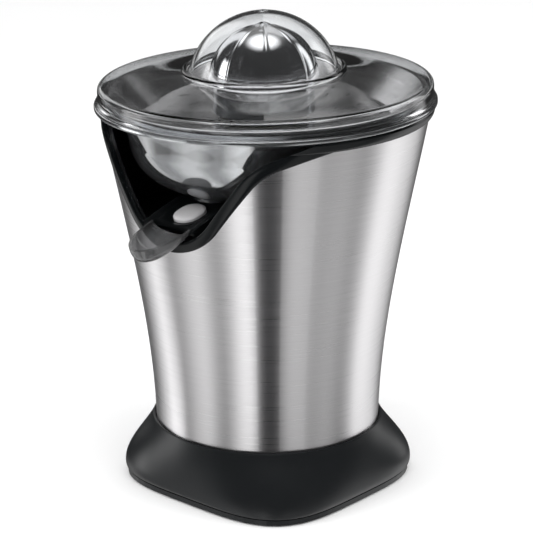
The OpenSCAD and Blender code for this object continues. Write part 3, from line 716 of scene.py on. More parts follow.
@dataclass
class Sleeve:
    """The brushed steel body with the black trim round its notch."""

    form: Form
    notch: Notch
    wall: float = 0.8 * MM
    tuck: float = 4.0 * MM
    trim_w: float = 6.2 * MM
    proud: float = 1.1 * MM
    depth: float = 2.9 * MM
    ring_inset: float = 1.2 * MM
    rows: int = 56

    def edges(self) -> tuple[float, float]:
        """Heights of the trim ring's foot and top."""
        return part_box("body_sleeve")[1].z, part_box("body_trim")[1].z

    def opening(self, inset: float, extra: float) -> tuple[list[float], list[float]]:
        """The notch's outline wrapped on the sleeve.

        Args:
            inset: How much narrower than the steel's edge.
            extra: How far outside the steel the wrap lies.

        Returns:
            The angles from the front, rising, and the height at each.
        """
        half = self.notch.half(inset)
        angles = [math.asin(min(1.0, x / (self.form.sleeve_r(z) + extra))) for x, z in half]
        return angles, [z for _, z in half]

    def sleeve(self) -> bpy.types.Object:
        """The steel, as columns that end at the ring or at the notch."""
        ring_foot, _ = self.edges()
        low = self.form.foot_z - self.tuck
        angles, heights = self.opening(0, 0)
        inside = [a for a, z in zip(angles, heights) if z < ring_foot and a > 0]
        limit = inside[-1]
        spare = 132
        right = [0.0] + inside + [between(limit, math.pi, i / spare) for i in range(1, spare)]
        columns = right + [math.pi] + [math.tau - a for a in reversed(right[1:])]
        grid = []
        for a in columns:
            top = min(ring_foot, interpolate(min(a, math.tau - a), angles, heights))
            zs = [between(low, top, i / self.rows) for i in range(self.rows + 1)]
            outer = [on_ring(self.form.sleeve_r(z), a, z) for z in zs]
            inner = [on_ring(self.form.sleeve_r(z) - self.wall, a, z) for z in reversed(zs)]
            grid.append(outer + inner)
        return skin("body_sleeve_steel", grid, loop=True, ring=True)

    def band(self) -> bpy.types.Object:
        """The trim that follows the notch, crowned across its width."""
        _, ring_top = self.edges()
        cap = ring_top - 0.7 * MM
        outer, inner = self.notch.half(0), self.notch.half(self.trim_w)
        pairs = [(o, i) for o, i in zip(outer, inner) if i[1] < cap + 5 * MM]
        pairs = [((-o[0], o[1]), (-i[0], i[1])) for o, i in reversed(pairs[1:])] + pairs
        shares = [(0.0, -self.depth), (0.0, 0.0), (0.02, 0.45), (0.07, 0.75), (0.16, 0.92), (0.32, 1.0),
                  (0.55, 1.0), (0.74, 0.92), (0.88, 0.74), (0.96, 0.46), (1.0, 0.05), (1.0, -self.depth)]
        rows = []
        for o, i in pairs:
            row = []
            for share, lift in shares:
                x = between(o[0], i[0], share)
                z = min(cap, between(o[1], i[1], share))
                r = self.form.sleeve_r(z) + (lift if lift < 0 else lift * self.proud)
                row.append(Vector((x, -math.sqrt(max(1e-9, r * r - x * x)), z)))
            rows.append(row)
        return skin("body_trim_band", rows, loop=False, ring=True, caps=True, sharp=50)

    def ring(self) -> bpy.types.Object:
        """The trim's ring under the bowl's flange, open where the notch meets it."""
        ring_foot, ring_top = self.edges()
        big = self.form.flange_r - self.ring_inset
        small = self.form.sleeve_r(ring_foot) + 0.3 * MM
        inner_r = self.form.sleeve_r(ring_foot) - self.depth
        h = ring_top - ring_foot
        outline = [(inner_r, ring_top), (big - 1.4 * MM, ring_top), (big - 0.5 * MM, ring_top - 0.2 * MM)]
        outline += [(small + (big - small) * math.cos(a), ring_top - 0.9 * MM - (h - 0.9 * MM) * math.sin(a))
                    for a in (math.pi / 2 * i / 10 for i in range(11))]
        outline.append((inner_r, ring_foot))
        half = self.notch.half(self.trim_w)
        xs, zs = [p[0] for p in half], [p[1] for p in half]
        steps = 220
        rows = []
        for i in range(steps + 1):
            row = []
            for r, z in outline:
                start = math.asin(min(0.999, interpolate(z, zs, xs) / r))
                row.append(on_ring(r, between(start, math.tau - start, i / steps), z))
            rows.append(row)
        return skin("body_trim_ring", rows, loop=False, ring=True, caps=True, sharp=50)

    def build(self, steel: bpy.types.Material, gloss: bpy.types.Material) -> list[bpy.types.Object]:
        """Builds the sleeve and its trim.

        Args:
            steel: Finish of the sleeve.
            gloss: Finish of the trim.

        Returns:
            The pieces made.
        """
        sleeve, band, ring = self.sleeve(), self.band(), self.ring()
        dress(sleeve, steel, "housing", "steel_brushed", "body_sleeve")
        dress(band, gloss, "housing", "black_gloss", "body_trim")
        dress(ring, gloss, "housing", "black_gloss", "body_trim")
        return [sleeve, band, ring]


@dataclass
class Bowl:
    """The clear bowl that catches the juice."""

    form: Form
    r: float = 84.0 * MM
    depth: float = 47.0 * MM
    bend: float = 28.0 * MM
    wall: float = 2.2 * MM
    tube_r: float = 9.4 * MM
    mouth_r: float = 87.4 * MM
    outlet_y: float = 45.0 * MM
    outlet_r: float = 12.0 * MM

    def outline(self) -> list[Point]:
        """Closed section of the bowl, from the tube's foot outwards."""
        f = self.form.flange_z
        foot, t = f - self.depth, self.form.flange_t / 2
        bend_x, bend_z = self.r - 4 * MM - self.bend, foot + self.bend
        inner_r = self.r - self.wall
        flange = filleted([
            (self.r, f - 6 * MM, 0), (self.r + 1.2 * MM, f - t, 0.8 * MM),
            (self.form.flange_r, f - t, 0.5 * MM),
            (self.form.flange_r, f + t, 0.9 * MM), (self.mouth_r + 2.5 * MM, f + t, 0.6 * MM),
            (self.mouth_r, f + t - 1 * MM, 0.6 * MM), (inner_r, f - 5 * MM, 1.5 * MM)], 5)[1:]
        tube_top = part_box("sieve")[0].z - 2.6 * MM
        return (
            [(self.tube_r, foot), (28 * MM, foot), (28.3 * MM, foot - 1.1 * MM), (29.7 * MM, foot - 1.1 * MM),
             (30 * MM, foot), (bend_x, foot)]
            + arc((bend_x, bend_z), self.bend, -88, 0, 22) + [(self.r, f - 8 * MM)] + flange
            + [(inner_r - 1.6 * MM, f - 14 * MM)]
            + arc((bend_x, bend_z), self.bend - self.wall, 0, -88, 22)
            + [(24 * MM, foot + self.wall + 0.4 * MM)]
            + arc((self.tube_r + self.wall + 3 * MM, foot + self.wall + 3.6 * MM), 3 * MM, -90, -180, 5)
            + [(self.tube_r + self.wall, tube_top - 0.6 * MM), (self.tube_r + self.wall - 0.6 * MM, tube_top),
               (self.tube_r + 0.3 * MM, tube_top), (self.tube_r, tube_top - 0.3 * MM)])

    def build(self, clear: bpy.types.Material) -> list[bpy.types.Object]:
        """Builds the bowl and the outlet under it.

        Args:
            clear: Finish of the bowl.

        Returns:
            The pieces made.
        """
        shell = lathe("bowl_shell", self.outline(), 288, 40)
        foot = self.form.flange_z - self.depth
        centre = Vector((0, -self.outlet_y, 0))
        ring = filleted([(5 * MM, foot - 2.4 * MM, 0.4 * MM), (self.outlet_r, foot - 2.4 * MM, 0.9 * MM),
                         (self.outlet_r, foot - 0.05 * MM, 0), (5 * MM, foot - 0.05 * MM, 0)], 5)
        outlet = lathe("bowl_outlet", ring, 96, 40)
        outlet.data.transform(Matrix.Translation(centre))
        dress(shell, clear, "bowl", "clear", "bowl")
        dress(outlet, clear, "bowl", "clear", "bowl")
        return [shell, outlet]


@dataclass
class Spout:
    """The black housing under the outlet, its silver button and the hinged nose."""

    form: Form
    hinge_y: float = 81.0 * MM
    hinge_drop: float = 59.0 * MM
    slope: float = 13.5
    half_w: float = 19.0 * MM
    front: float = 2.0 * MM
    ears: float = 4.3 * MM
    back: float = 43.5 * MM
    top: float = 1.6 * MM
    under: float = 6.0 * MM
    ridge: float = 1.2 * MM
    ridge_w: float = 3.0 * MM
    button_y: float = 16.3 * MM
    button_w: float = 8.5 * MM
    button_l: float = 10.0 * MM
    nose_half: float = 15.5 * MM
    nose_len: float = 32.0 * MM
    nose_wall: float = 1.6 * MM

    def placed(self, piece: bpy.types.Object) -> bpy.types.Object:
        """Moves a mesh from the spout's own frame into the row frame."""
        place = Matrix.Translation((0, -self.hinge_y, self.form.flange_z - self.hinge_drop))
        piece.data.transform(place @ Matrix.Rotation(math.radians(self.slope), 4, "X"))
        return piece

    def oval(self, x: float, y: float, grow: float = 0.0) -> float:
        """How far out a point lies in the button's oval: 1 is on its edge."""
        return ((abs(x) / (self.button_w + grow)) ** 2.3
                + (abs(y - self.button_y) / (self.button_l + grow)) ** 2.3) ** (1 / 2.3)

    def housing_top(self, x: float, y: float) -> float:
        """Height of the housing's upper face.

        Args:
            x: Place across.
            y: Place along.

        Returns:
            The height.
        """
        side = self.half_w - abs(x)
        rail = smooth(self.ridge_w + 0.5 * MM, self.ridge_w - 0.4 * MM, side) * self.ridge
        rail *= 1.0 - 0.35 * smooth(0.9 * MM, 0.0, side)
        step = 0.5 * MM * smooth(self.ridge_w + 4.2 * MM, self.ridge_w + 3.4 * MM, side)
        well = -2.2 * MM * smooth(1.10, 1.04, self.oval(x, y))
        dish = -0.7 * MM * smooth(1.45, 1.1, self.oval(x, y, 0.5 * MM))
        return self.top + rail + step * smooth(self.front, self.front + 4 * MM, y) + well + dish

    def housing(self) -> bpy.types.Object:
        """The housing, as an upper and a lower face joined round the edge."""
        across, along = 110, 120
        low_z = self.form.flange_z - self.hinge_drop
        ceiling = self.form.flange_z - 49.8 * MM
        slope = math.radians(self.slope)
        mesh = bmesh.new()
        tops, floors = [], []
        for i in range(across + 1):
            x = between(-self.half_w, self.half_w, i / across)
            start = self.front - self.ears * (abs(x) / self.half_w) ** 5
            top_row, floor_row = [], []
            for j in range(along + 1):
                y = between(start, self.back, j / along)
                limit = (ceiling - low_z - y * math.sin(slope)) / math.cos(slope)
                top_row.append(mesh.verts.new((x, y, min(limit, self.housing_top(x, y)))))
                drop = between(1.9 * MM, self.under, smooth(4 * MM, 5.2 * MM, y))
                floor_row.append(mesh.verts.new((x, y, -drop)))
            tops.append(top_row)
            floors.append(floor_row)
        for grid, flip in ((tops, False), (floors, True)):
            for i in range(across):
                for j in range(along):
                    quad = (grid[i][j], grid[i + 1][j], grid[i + 1][j + 1], grid[i][j + 1])
                    mesh.faces.new(tuple(reversed(quad)) if flip else quad)
        for i in (0, across):
            for j in range(along):
                mesh.faces.new((tops[i][j], tops[i][j + 1], floors[i][j + 1], floors[i][j]))
        for j in (0, along):
            for i in range(across):
                mesh.faces.new((tops[i][j], tops[i + 1][j], floors[i + 1][j], floors[i][j]))
        piece = finish_mesh(mesh, "spout_housing_shell", 45)
        soften(piece, 0.5 * MM)
        return self.placed(piece)

    def button(self) -> bpy.types.Object:
        """The button, an oval with a crowned top and a soft edge."""
        rings = [(1.0, -1.3 * MM), (1.0, 1.6 * MM)]
        rings += [(1 - 0.11 * (1 - math.cos(a)), 1.6 * MM + 0.75 * MM * math.sin(a))
                  for a in (math.pi / 2 * i / 6 for i in range(1, 7))]
        rings += [(0.89 * math.cos(a), 2.35 * MM + 0.75 * MM * math.sin(a)) for a in
                  (math.pi / 2 * i / 12 for i in range(1, 13))]
        rows = []
        for share, z in rings:
            row = []
            for k in range(96):
                a = math.tau * k / 96
                c, s = math.cos(a), math.sin(a)
                r = share / (abs(c) ** 2.3 + abs(s) ** 2.3) ** (1 / 2.3)
                row.append(Vector((r * c * self.button_w, self.button_y + r * s * self.button_l, z)))
            rows.append(row)
        mesh_rows = [[Vector((0, self.button_y, -1.3 * MM))] * 96] + rows
        return self.placed(skin("spout_button_cap", mesh_rows, loop=False, ring=True, sharp=50))

    def nose(self) -> bpy.types.Object:
        """The nose, a spoon with a rounded tip, a thick rim and a step inside."""
        steps, sweep = 54, 40
        rows = []
        for i in range(steps + 1):
            t = math.sin(math.pi / 2 * i / steps) ** 1.15
            row = []
            for wall, length, turn in ((0.0, self.nose_len, 1),
                                       (self.nose_wall, self.nose_len - self.nose_wall, -1)):
                w = (self.nose_half - wall) * max(0.0, 1 - t ** 2.7) ** 0.56
                d = (5.1 * MM + 8.2 * MM * t) * max(0.0, 1 - t ** 4) ** 0.5
                if wall:
                    d = max(0.0, d - wall * (1 - t ** 6)) - 0.8 * MM * smooth(0.52, 0.56, t) * (1 - t ** 8)
                rim = 1.8 * MM - 0.6 * MM * smooth(0.0, 0.3, t)
                for k in range(sweep + 1):
                    a = math.pi * (k / sweep - 0.5) * turn
                    lift = rim + 0.25 * MM * (1 if wall else 0)
                    c = max(0.0, math.cos(a))
                    z = lift - (lift + d) * c ** 0.8 if d + lift > 0 else lift
                    row.append(Vector((w * math.sin(a), -length * t, z)))
            rows.append(row)
        piece = skin("spout_nose_shell", rows, loop=False, ring=True, caps=True, sharp=60)
        return self.placed(piece)

    def build(self, gloss: bpy.types.Material, silver: bpy.types.Material,
              smoke: bpy.types.Material) -> list[bpy.types.Object]:
        """Builds the spout's three pieces.

        Args:
            gloss: Finish of the housing.
            silver: Finish of the button.
            smoke: Finish of the nose.

        Returns:
            The pieces made.
        """
        housing, button, nose = self.housing(), self.button(), self.nose()
        dress(housing, gloss, "bowl", "black_gloss", "spout_housing")
        dress(button, silver, "button", "silver_button", "spout_button")
        dress(nose, smoke, "nose", "smoke", "spout_nose")
        return [housing, button, nose]


@dataclass
class Reamer:
    """The ribbed cone on its dark hub."""

    form: Form
    r: float = 31.5 * MM
    tip: float = 46.5 * MM
    foot: float = 12.0 * MM
    hub_r: float = 30.0 * MM
    hub_wall: float = 2.2 * MM
    ribs: int = 8
    rib_w: float = 2.1 * MM
    rib_h: float = 0.75 * MM
    wall: float = 1.2 * MM

    def dome(self, inset: float) -> list[Point]:
        """The cone's side, from its foot to its tip.

        Args:
            inset: How far it is set in.

        Returns:
            (radius, height) of each point.
        """
        f = self.form.flange_z
        h = self.tip - self.foot
        points = []
        for i in range(49):
            a = math.pi / 2 * i / 48
            r = (self.r - inset) * math.cos(a) ** 0.9
            z = f + self.foot + (h - 2 * MM - inset) * math.sin(a)
            peak = (2 * MM - inset * 0.5) * (1 - smooth(0.0, 7 * MM, r))
            points.append((r, z + peak))
        return points

    def ripple(self, r: float, angle: float, z: float) -> float:
        """Height of the ribs at a place on the cone.

        Args:
            r: The place's radius.
            angle: Its angle round the axis.
            z: Its height.

        Returns:
            How far the surface stands out there.
        """
        if r < 1.5 * MM or z < self.form.flange_z + self.foot + 0.2 * MM:
            return 0.0
        pitch = math.tau / self.ribs
        off = abs((angle + pitch / 2) % pitch - pitch / 2) * r
        width = self.rib_w * (0.35 + 0.65 * smooth(0, self.r, r))
        return self.rib_h * math.exp(-(off / width) ** 2 * 2.2) * smooth(1.5 * MM, 8 * MM, r)

    def build(self, polished: bpy.types.Material, dark: bpy.types.Material) -> list[bpy.types.Object]:
        """Builds the cone and its hub.

        Args:
            polished: Finish of the cone.
            dark: Finish of the hub.

        Returns:
            The pieces made.
        """
        f = self.form.flange_z
        foot, neck = f + self.foot, f + 3 * MM
        rim_r = self.r + 0.9 * MM
        collar = filleted([
            (rim_r - 0.9 * MM, foot + 0.5 * MM, 0.5 * MM), (rim_r, foot - 0.4 * MM, 0.5 * MM),
            (rim_r, foot - 2.4 * MM, 0.5 * MM)], 4)[1:]
        hollow = [(self.hub_r + 0.4 * MM + 1.7 * MM * (1 - math.cos(a)), neck + 6 * MM * math.sin(a))
                  for a in (math.pi / 2 * (1 - i / 12) for i in range(13))]
        outer = list(reversed(self.dome(0)))
        inner = [(r, z) for r, z in self.dome(self.wall)]
        inner[0] = (self.hub_r + 0.05 * MM, foot - 1 * MM)
        cone = lathe("cone_shell", outer + collar + hollow + [(self.hub_r + 0.05 * MM, neck)] + inner,
                     512, 42, self.ripple)
        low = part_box("cone_core")[0].z
        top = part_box("cone_core")[1].z
        web = foot - 4 * MM
        hub = filleted([
            (self.hub_r, low, 0.6 * MM), (self.hub_r, foot - 1.2 * MM, 0), (4.2 * MM, foot - 1.2 * MM, 0),
            (4.2 * MM, low, 0.2 * MM), (7 * MM, low, 0.4 * MM), (7 * MM, web, 0.8 * MM),
            (self.hub_r - self.hub_wall, web, 0.8 * MM), (self.hub_r - self.hub_wall, low, 0.4 * MM)], 5)
        post = filleted([(4.2 * MM, foot - 1.1 * MM, 0), (7 * MM, foot - 1.1 * MM, 0),
                         (7 * MM, top, 0.6 * MM),
                         (4.2 * MM, top, 0)], 4)
        core = lathe("cone_hub", hub, 192, 40)
        socket = lathe("cone_socket", post, 96, 40)
        dress(cone, polished, "cone", "steel_polished", "cone")
        dress(core, dark, "cone", "black_gloss", "cone_core")
        dress(socket, dark, "cone", "black_gloss", "cone_core")
        return [cone, core, socket]


@dataclass
class Lid:
    """The clear lid with its dome and moulding nub."""

    form: Form
    r: float = 97.8 * MM
    edge: float = 12.5 * MM
    bend: float = 3.6 * MM
    wall: float = 2.0 * MM
    dome_r: float = 45.0 * MM
    dome_up: float = 8.0 * MM
    rise: float = 5.5 * MM
    joint_r: float = 44.0 * MM
    bead_r: float = 1.8 * MM

    def build(self, clear: bpy.types.Material) -> list[bpy.types.Object]:
        """Builds the lid in one closed shell.

        Args:
            clear: Finish of the lid.

        Returns:
            The pieces made.
        """
        f = self.form.flange_z
        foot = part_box("lid")[0].z
        top = f + self.edge
        joint = top + self.rise
        centre = f + self.dome_up
        start = math.degrees(math.asin((joint + 1.2 * MM - centre) / self.dome_r))
        bead = (self.joint_r + 2.4 * MM, joint + 0.8 * MM)
        outer = (
            [(self.r - self.wall, foot), (self.r + 0.9 * MM, foot), (self.r + 1.0 * MM, foot + 0.4 * MM),
             (self.r + 1.0 * MM, foot + 1.2 * MM), (self.r + 0.5 * MM, foot + 1.7 * MM),
             (self.r, foot + 2.6 * MM)]
            + arc((self.r - self.bend, top - self.bend), self.bend, 0, 84, 9)
            + [(78 * MM, top + 1.4 * MM), (60 * MM, top + 3.4 * MM)]
            + arc(bead, self.bead_r, -60, 170, 12)
            + arc((0, centre), self.dome_r, start, 86.4, 44))
        nub = [(2.3 * MM, centre + self.dome_r + 0.1 * MM), (2.2 * MM, centre + self.dome_r + 0.6 * MM),
               (1.7 * MM, centre + self.dome_r + 0.8 * MM), (0.0, centre + self.dome_r + 0.8 * MM)]
        inside_r = self.dome_r - self.wall
        end = math.degrees(math.asin((joint - self.wall - centre) / inside_r))
        inner = (
            arc((0, centre), inside_r, 90, end + 1.5, 46)
            + [(60 * MM, top + 3.4 * MM - self.wall), (78 * MM, top + 1.4 * MM - self.wall)]
            + arc((self.r - self.bend, top - self.bend), self.bend - self.wall, 84, 0, 9))
        shell = lathe("lid_shell", outer + nub + inner, 288, 50)
        dress(shell, clear, "lid", "clear", "lid")
        return [shell]


# ---------------------------------------------------------------- dressing

def soften(piece: bpy.types.Object, width: float) -> None:
    """Rounds a piece's sharp edges.

    Args:
        piece: The piece.
        width: Width of the rounding, in metres.
    """
    bevel = piece.modifiers.new("soft_edges", "BEVEL")
    bevel.width = width
    bevel.segments = 3
    bevel.limit_method = "ANGLE"
    bevel.angle_limit = math.radians(50)
    bevel.use_clamp_overlap = True


def dress(piece: bpy.types.Object, finish: bpy.types.Material, body: str, slot: str, *nodes: str) -> None:
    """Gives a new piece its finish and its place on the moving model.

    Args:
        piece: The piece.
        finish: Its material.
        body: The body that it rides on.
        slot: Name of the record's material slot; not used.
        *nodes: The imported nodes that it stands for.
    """
    piece.data.materials.append(finish)
    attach(piece, body)
    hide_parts(*nodes)


def coat(node: str, finish: bpy.types.Material) -> None:
    """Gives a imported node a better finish.

    Args:
        node: The node's name.
        finish: Its material.
    """
    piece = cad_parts[node]
    for place in piece.material_slots:
        place.material = finish


@dataclass
class Works:
    """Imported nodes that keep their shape: the drive, the sieve and the small parts."""

    def build(self, finishes: dict[str, bpy.types.Material]) -> None:
        """Coats every node that is kept.

        Args:
            finishes: The materials by name.
        """
        kept = {
            "satin": ["base_plate", "gear_tray", "gear_cover", "micro_switch"],
            "rubber": ["rubber_feet", "cord_inlet"],
            "zinc": ["base_screws", "gearbox_screws", "motor_can", "motor_field", "idler_pin",
                     "return_spring", "drive_shaft"],
            "gloss": ["nose_pins"],
            "well": ["inner_housing"],
            "acetal": ["motor_end_cap", "idler_gear", "output_gear", "thrust_cup", "slip_washer"],
            "bronze": ["shaft_bushes", "motor_pinion"],
            "copper": ["motor_rotor"],
            "carbon": ["carbon_brushes"],
            "red": ["switch_plunger"],
            "sieve": ["sieve"],
        }
        for finish, nodes in kept.items():
            for node in nodes:
                coat(node, finishes[finish])
                log.info("coated %s with %s", node, finish)


# ---------------------------------------------------------------- studio

@dataclass
class Studio:
    """Pale floor, soft lights and the camera."""

    form: Form
    azimuth: float = 41.0
    away: float = 1.278
    height: float = 0.326
    tilt: float = 18.32
    yaw: float = 8.72
    roll: float = 3.27
    lens: float = 149.4
    shift: Point = (0.6058, 0.0011)
    floor_tint: tuple[float, float, float] = (0.93, 0.93, 0.93)
    top_light: Point = (0.0, 84.0)
    top_spread: Point = (0.86, 0.99)
    top_bright: float = 2.0
    gloom: float = 0.045

    def camera(self) -> None:
        """Places the camera on its side of the press."""
        data = bpy.data.cameras.new("camera")
        data.lens = self.lens
        data.sensor_width = 36.0
        data.clip_end = 20.0
        data.shift_x, data.shift_y = self.shift
        camera = bpy.data.objects.new("camera", data)
        bpy.context.scene.collection.objects.link(camera)
        a, e = math.radians(self.azimuth), math.radians(self.tilt)
        camera.location = (self.away * math.sin(a), -self.away * math.cos(a),
                           self.form.flange_z + self.height)
        y = a + math.radians(self.yaw)
        look = Vector((-math.sin(y) * math.cos(e), math.cos(y) * math.cos(e), -math.sin(e)))
        spin = Matrix.Rotation(math.radians(self.roll), 4, look)
        camera.matrix_world = (Matrix.Translation(camera.location)
                               @ spin @ look.to_track_quat("-Z", "Y").to_matrix().to_4x4())
        bpy.context.scene.camera = camera

    def floor(self) -> None:
        """Lays the floor."""
        mesh = bmesh.new()
        reach = 6.0
        corners = ((-1, -1), (1, -1), (1, 1), (-1, 1))
        mesh.faces.new([mesh.verts.new((x * reach, y * reach, 0)) for x, y in corners])
        floor = finish_mesh(mesh, "floor", 30)
        s = Shade("floor_paper")
        cloud = s.noise(3.0, 2.0)
        s.feed(Base_Color=s.mottle(cloud, self.floor_tint, 0.99),
               Roughness=s.spread(cloud, 0.8, 0.9))
        floor.data.materials.append(s.material)
        floor.visible_glossy = False

    def lamp(self, name: str, azimuth: float, elevation: float, away: float,
             size: Point, power: float) -> None:
        """Hangs a soft box that faces the press.

        Args:
            name: The lamp's name.
            azimuth: Its direction from the camera's, in degrees, growing to the right.
            elevation: Its height angle, in degrees.
            away: Its distance, in metres.
            size: Its width and height.
            power: Its power, in watts.
        """
        data = bpy.data.lights.new(name, "AREA")
        data.shape = "RECTANGLE"
        data.size, data.size_y = size
        data.energy = power
        lamp = bpy.data.objects.new(name, data)
        bpy.context.scene.collection.objects.link(lamp)
        a, e = math.radians(self.azimuth + azimuth), math.radians(elevation)
        target = Vector((0, 0, self.form.flange_z * 0.6))
        lamp.visible_glossy = lamp.visible_transmission = False
        toward = Vector((math.sin(a) * math.cos(e), -math.cos(a) * math.cos(e), math.sin(e)))
        lamp.location = target + away * toward
        lamp.rotation_euler = (target - lamp.location).to_track_quat("-Z", "Y").to_euler()

    def flag(self) -> None:
        """Lays a dark card before the press that only reflections see, narrow near it."""
        a = math.radians(self.azimuth)
        ahead, right = Vector((math.sin(a), -math.cos(a), 0)), Vector((math.cos(a), math.sin(a), 0))
        mesh = bmesh.new()
        edges = [(0.140, -0.003, 0.013), (0.185, -0.012, 0.026), (0.240, -0.030, 0.046),
                 (0.380, -0.048, 0.104), (0.560, -0.068, 0.170)]
        rows = [[mesh.verts.new(ahead * d + right * x + Vector((0, 0, 0.0006))) for x in (low, high)]
                for d, low, high in edges]
        for near, far in zip(rows, rows[1:]):
            mesh.faces.new((near[0], near[1], far[1], far[0]))
        card = finish_mesh(mesh, "flag", 30)
        s = Shade("flag_cloth")
        s.set(Base_Color=(0, 0, 0, 1), Specular_IOR_Level=0.0, Emission_Strength=1.0)
        s.feed(Emission_Color=s.blend(s.noise(60.0, 2.0), (0.02, 0.02, 0.022), (0.035, 0.035, 0.038)))
        card.data.materials.append(s.material)
        card.visible_camera = card.visible_diffuse = card.visible_transmission = card.visible_shadow = False

    def world(self) -> None:
        """Surrounds the press with bright and dark panels; a plain backdrop is seen directly."""
        world = bpy.data.worlds.new("studio")
        bpy.context.scene.world = world
        world.use_nodes = True
        tree = world.node_tree
        tree.nodes.clear()
        out = tree.nodes.new("ShaderNodeOutputWorld")

        def calc(kind: str, a: object, b: object = 0.0) -> bpy.types.NodeSocket:
            """The result of a Math node.

            Args:
                kind: What the node does.
                a: Its first input, a number or a socket.
                b: Its second input.

            Returns:
                The result.
            """
            made = tree.nodes.new("ShaderNodeMath")
            made.operation = kind
            for value, socket in ((a, made.inputs[0]), (b, made.inputs[1])):
                if isinstance(value, bpy.types.NodeSocket):
                    tree.links.new(value, socket)
                else:
                    socket.default_value = value
            return made.outputs[0]

        def step(value: bpy.types.NodeSocket, start: float, end: float) -> bpy.types.NodeSocket:
            """A soft step.

            Args:
                value: What is stepped.
                start: Where the result is still 0.
                end: Where it becomes 1.

            Returns:
                The step, from 0 to 1.
            """
            made = tree.nodes.new("ShaderNodeMapRange")
            made.interpolation_type = "SMOOTHSTEP"
            tree.links.new(value, made.inputs["Value"])
            made.inputs["From Min"].default_value = start
            made.inputs["From Max"].default_value = end
            return made.outputs["Result"]

        look = tree.nodes.new("ShaderNodeSeparateXYZ")
        tree.links.new(tree.nodes.new("ShaderNodeTexCoord").outputs["Generated"], look.inputs[0])
        x, y, z = look.outputs
        turn = calc("ARCTAN2", x, calc("MULTIPLY", y, -1.0))
        round_by = calc("SUBTRACT", turn, math.radians(self.azimuth))
        share = calc("FRACT", calc("ADD", calc("DIVIDE", round_by, math.tau), 1.5))

        ramp = tree.nodes.new("ShaderNodeValToRGB")
        panels = self.panels()
        ramp.color_ramp.interpolation = "LINEAR"
        stops = ramp.color_ramp.elements
        while len(stops) < len(panels):
            stops.new(0.5)
        for stop, (degrees, bright) in zip(stops, panels):
            stop.position = 0.5 + degrees / 360
            stop.color = (bright, bright, bright, 1.0)
        tree.links.new(share, ramp.inputs["Fac"])

        def box(azimuth: float, half: float, low: float, high: float, bright: float,
                soft: float = 0.012) -> bpy.types.NodeSocket:
            """A soft-edged raised panel.

            Args:
                azimuth: Its direction from the camera's, in degrees.
                half: Half its width, in degrees.
                low: Sine of its lowest height angle.
                high: Sine of its highest height angle.
                bright: Its brightness.
                soft: Width of its soft edge, as a share of a turn.

            Returns:
                Its brightness in the direction looked at.
            """
            off = calc("ABSOLUTE", calc("SUBTRACT", share, 0.5 + azimuth / 360))
            inside = calc("SUBTRACT", 1.0, step(off, half / 360 - soft, half / 360 + soft))
            rise = calc("MULTIPLY", step(z, low - 0.04, low + 0.04),
                        calc("SUBTRACT", 1.0, step(z, high - 0.06, high + 0.06)))
            return calc("MULTIPLY", calc("MULTIPLY", inside, rise), bright)

        a, e = math.radians(self.azimuth + 180 + self.top_light[0]), math.radians(self.top_light[1])
        toward = tree.nodes.new("ShaderNodeVectorMath")
        toward.operation = "DOT_PRODUCT"
        tree.links.new(look.inputs[0].links[0].from_socket, toward.inputs[0])
        toward.inputs[1].default_value = (math.sin(a) * math.cos(e), -math.cos(a) * math.cos(e), math.sin(e))
        zenith = calc("MULTIPLY", step(toward.outputs["Value"], *self.top_spread), self.top_bright)
        upper = calc("ADD", zenith, self.gloom)
        for panel in self.boxes():
            upper = calc("ADD", upper, box(*panel))
        above = step(z, -0.36, -0.24)
        level = calc("ADD", calc("MULTIPLY", ramp.outputs["Color"], calc("SUBTRACT", 1.0, above)),
                     calc("MULTIPLY", upper, above))
        light = tree.nodes.new("ShaderNodeBackground")
        tree.links.new(level, light.inputs["Color"])
        plain = tree.nodes.new("ShaderNodeBackground")
        plain.inputs["Color"].default_value = (1.0, 1.0, 1.0, 1.0)
        path = tree.nodes.new("ShaderNodeLightPath")
        direct = calc("LESS_THAN", path.outputs["Glossy Depth"], 0.5)
        mix = tree.nodes.new("ShaderNodeMixShader")
        tree.links.new(direct, mix.inputs["Fac"])
        tree.links.new(light.outputs[0], mix.inputs[1])
        tree.links.new(plain.outputs[0], mix.inputs[2])
        tree.links.new(mix.outputs[0], out.inputs["Surface"])

    def panels(self) -> list[Point]:
        """Direction from the camera's, in degrees, and brightness of each upright panel's edge."""
        return [(-180, 0.25), (-152, 0.12), (-138, 0.6), (-121, 1.35), (-108, 0.4), (-94, 0.3), (-76, 1.1),
                (-63, 1.25), (-49, 0.42), (-40, 0.42), (-31, 1.15), (-24, 1.6), (-14, 1.6), (-9, 0.4),
                (-6, 0.03), (8, 0.03), (14, 0.14), (24, 0.85), (36, 0.85), (46, 0.52), (70, 0.62), (80, 0.28), (92, 0.5),
                (101, 1.5), (119, 1.6), (134, 0.9), (150, 0.5), (163, 0.2), (180, 0.2)]

    def boxes(self) -> list[tuple[float, ...]]:
        """Direction, half width, lowest and highest sine of height, and brightness of raised panels."""
        return [(-100, 10, -0.3, 0.34, 3.2), (126, 8, -0.2, 0.5, 1.6), (-34, 4, -0.14, 0.06, 0.7),
                (56, 4, -0.14, 0.06, 0.6), (180, 40, 0.46, 0.8, 0.7), (-150, 12, 0.1, 0.7, 1.2)]

    def build(self) -> None:
        """Sets the camera, the floor and the lights."""
        self.camera()
        self.floor()
        self.flag()
        self.world()
        self.lamp("top_box", 10, 68, 1.3, (1.0, 1.0), 7)
        self.lamp("left_box", -62, 34, 1.2, (0.5, 0.9), 4)
        self.lamp("right_box", 70, 30, 1.2, (0.5, 0.9), 3)
        bpy.context.scene.view_settings.view_transform = "Standard"


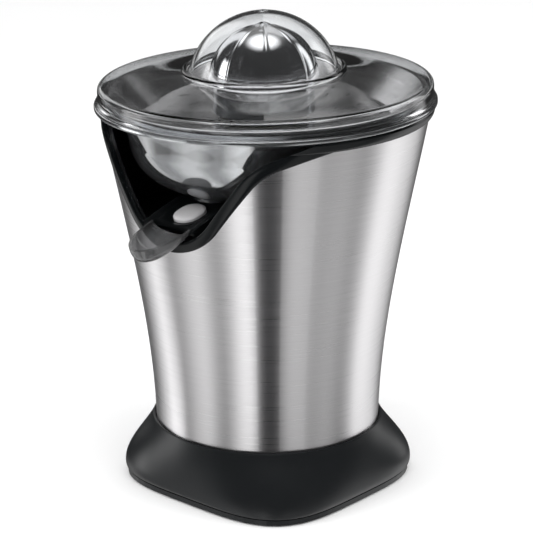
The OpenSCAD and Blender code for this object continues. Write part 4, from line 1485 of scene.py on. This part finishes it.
def main() -> None:
    """Builds every sub-assembly, in order, and logs the face count of each piece made."""
    logging.basicConfig(level=logging.INFO, format="%(name)s: %(message)s")
    form = Form()
    finishes = {
        "steel": BrushedSteel("steel_brushed_round").make(),
        "sieve": BrushedSteel("steel_sieve", (0.78, 0.77, 0.77), 0.2, 0.3, 0.02, 1500.0, 30.0).make(),
        "polished": PolishedSteel("steel_cone").make(),
        "clear": Clear("clear_plastic").make(),
        "bowl": Clear("clear_bowl", (0.93, 0.95, 0.97), 0.05, 1.55, 0.2, 0.97, 0.3).make(),
        "smoke": Clear("smoky_plastic", (0.28, 0.28, 0.285), 0.1, 1.5, 0.3, 0.86, 0.1).make(),
        "gloss": Moulded("black_gloss", (0.003, 0.0036, 0.004), Grain.GLOSS, 0.18, 0.14).make(),
        "well": Moulded("black_well", (0.006, 0.006, 0.007), Grain.SATIN, 0.35).make(),
        "hub": Metal("hub_dark", (0.2, 0.21, 0.22), 0.16).make(),
        "satin": Moulded("black_satin", (0.006, 0.007, 0.008), Grain.SATIN, 0.36, 0.38).make(),
        "rubber": Moulded("rubber", (0.03, 0.03, 0.03), Grain.MATTE, 0.8, 0.3).make(),
        "silver": Flake("silver_paint").make(),
        "zinc": Metal("zinc_plate", (0.6, 0.6, 0.62), 0.35).make(),
        "acetal": Moulded("acetal", (0.78, 0.75, 0.66), Grain.SATIN, 0.5).make(),
        "bronze": Metal("sintered_bronze", (0.6, 0.42, 0.2), 0.45).make(),
        "copper": Metal("wound_copper", (0.62, 0.3, 0.14), 0.4).make(),
        "carbon": Moulded("carbon", (0.03, 0.03, 0.032), Grain.MATTE, 0.6).make(),
        "red": Moulded("switch_red", (0.5, 0.06, 0.04), Grain.SATIN, 0.4).make(),
    }
    made = [
        *Base(form).build(finishes["satin"]),
        *Sleeve(form, Notch(form)).build(finishes["steel"], finishes["gloss"]),
        *Bowl(form).build(finishes["bowl"]),
        *Spout(form).build(finishes["gloss"], finishes["silver"], finishes["smoke"]),
        *Reamer(form).build(finishes["polished"], finishes["hub"]),
        *Lid(form).build(finishes["clear"]),
    ]
    for piece in made:
        log.info("made %s with %d faces", piece.name, len(piece.data.polygons))
    Works().build(finishes)
    Studio(form).build()


if __name__ == "__main__":
    main()
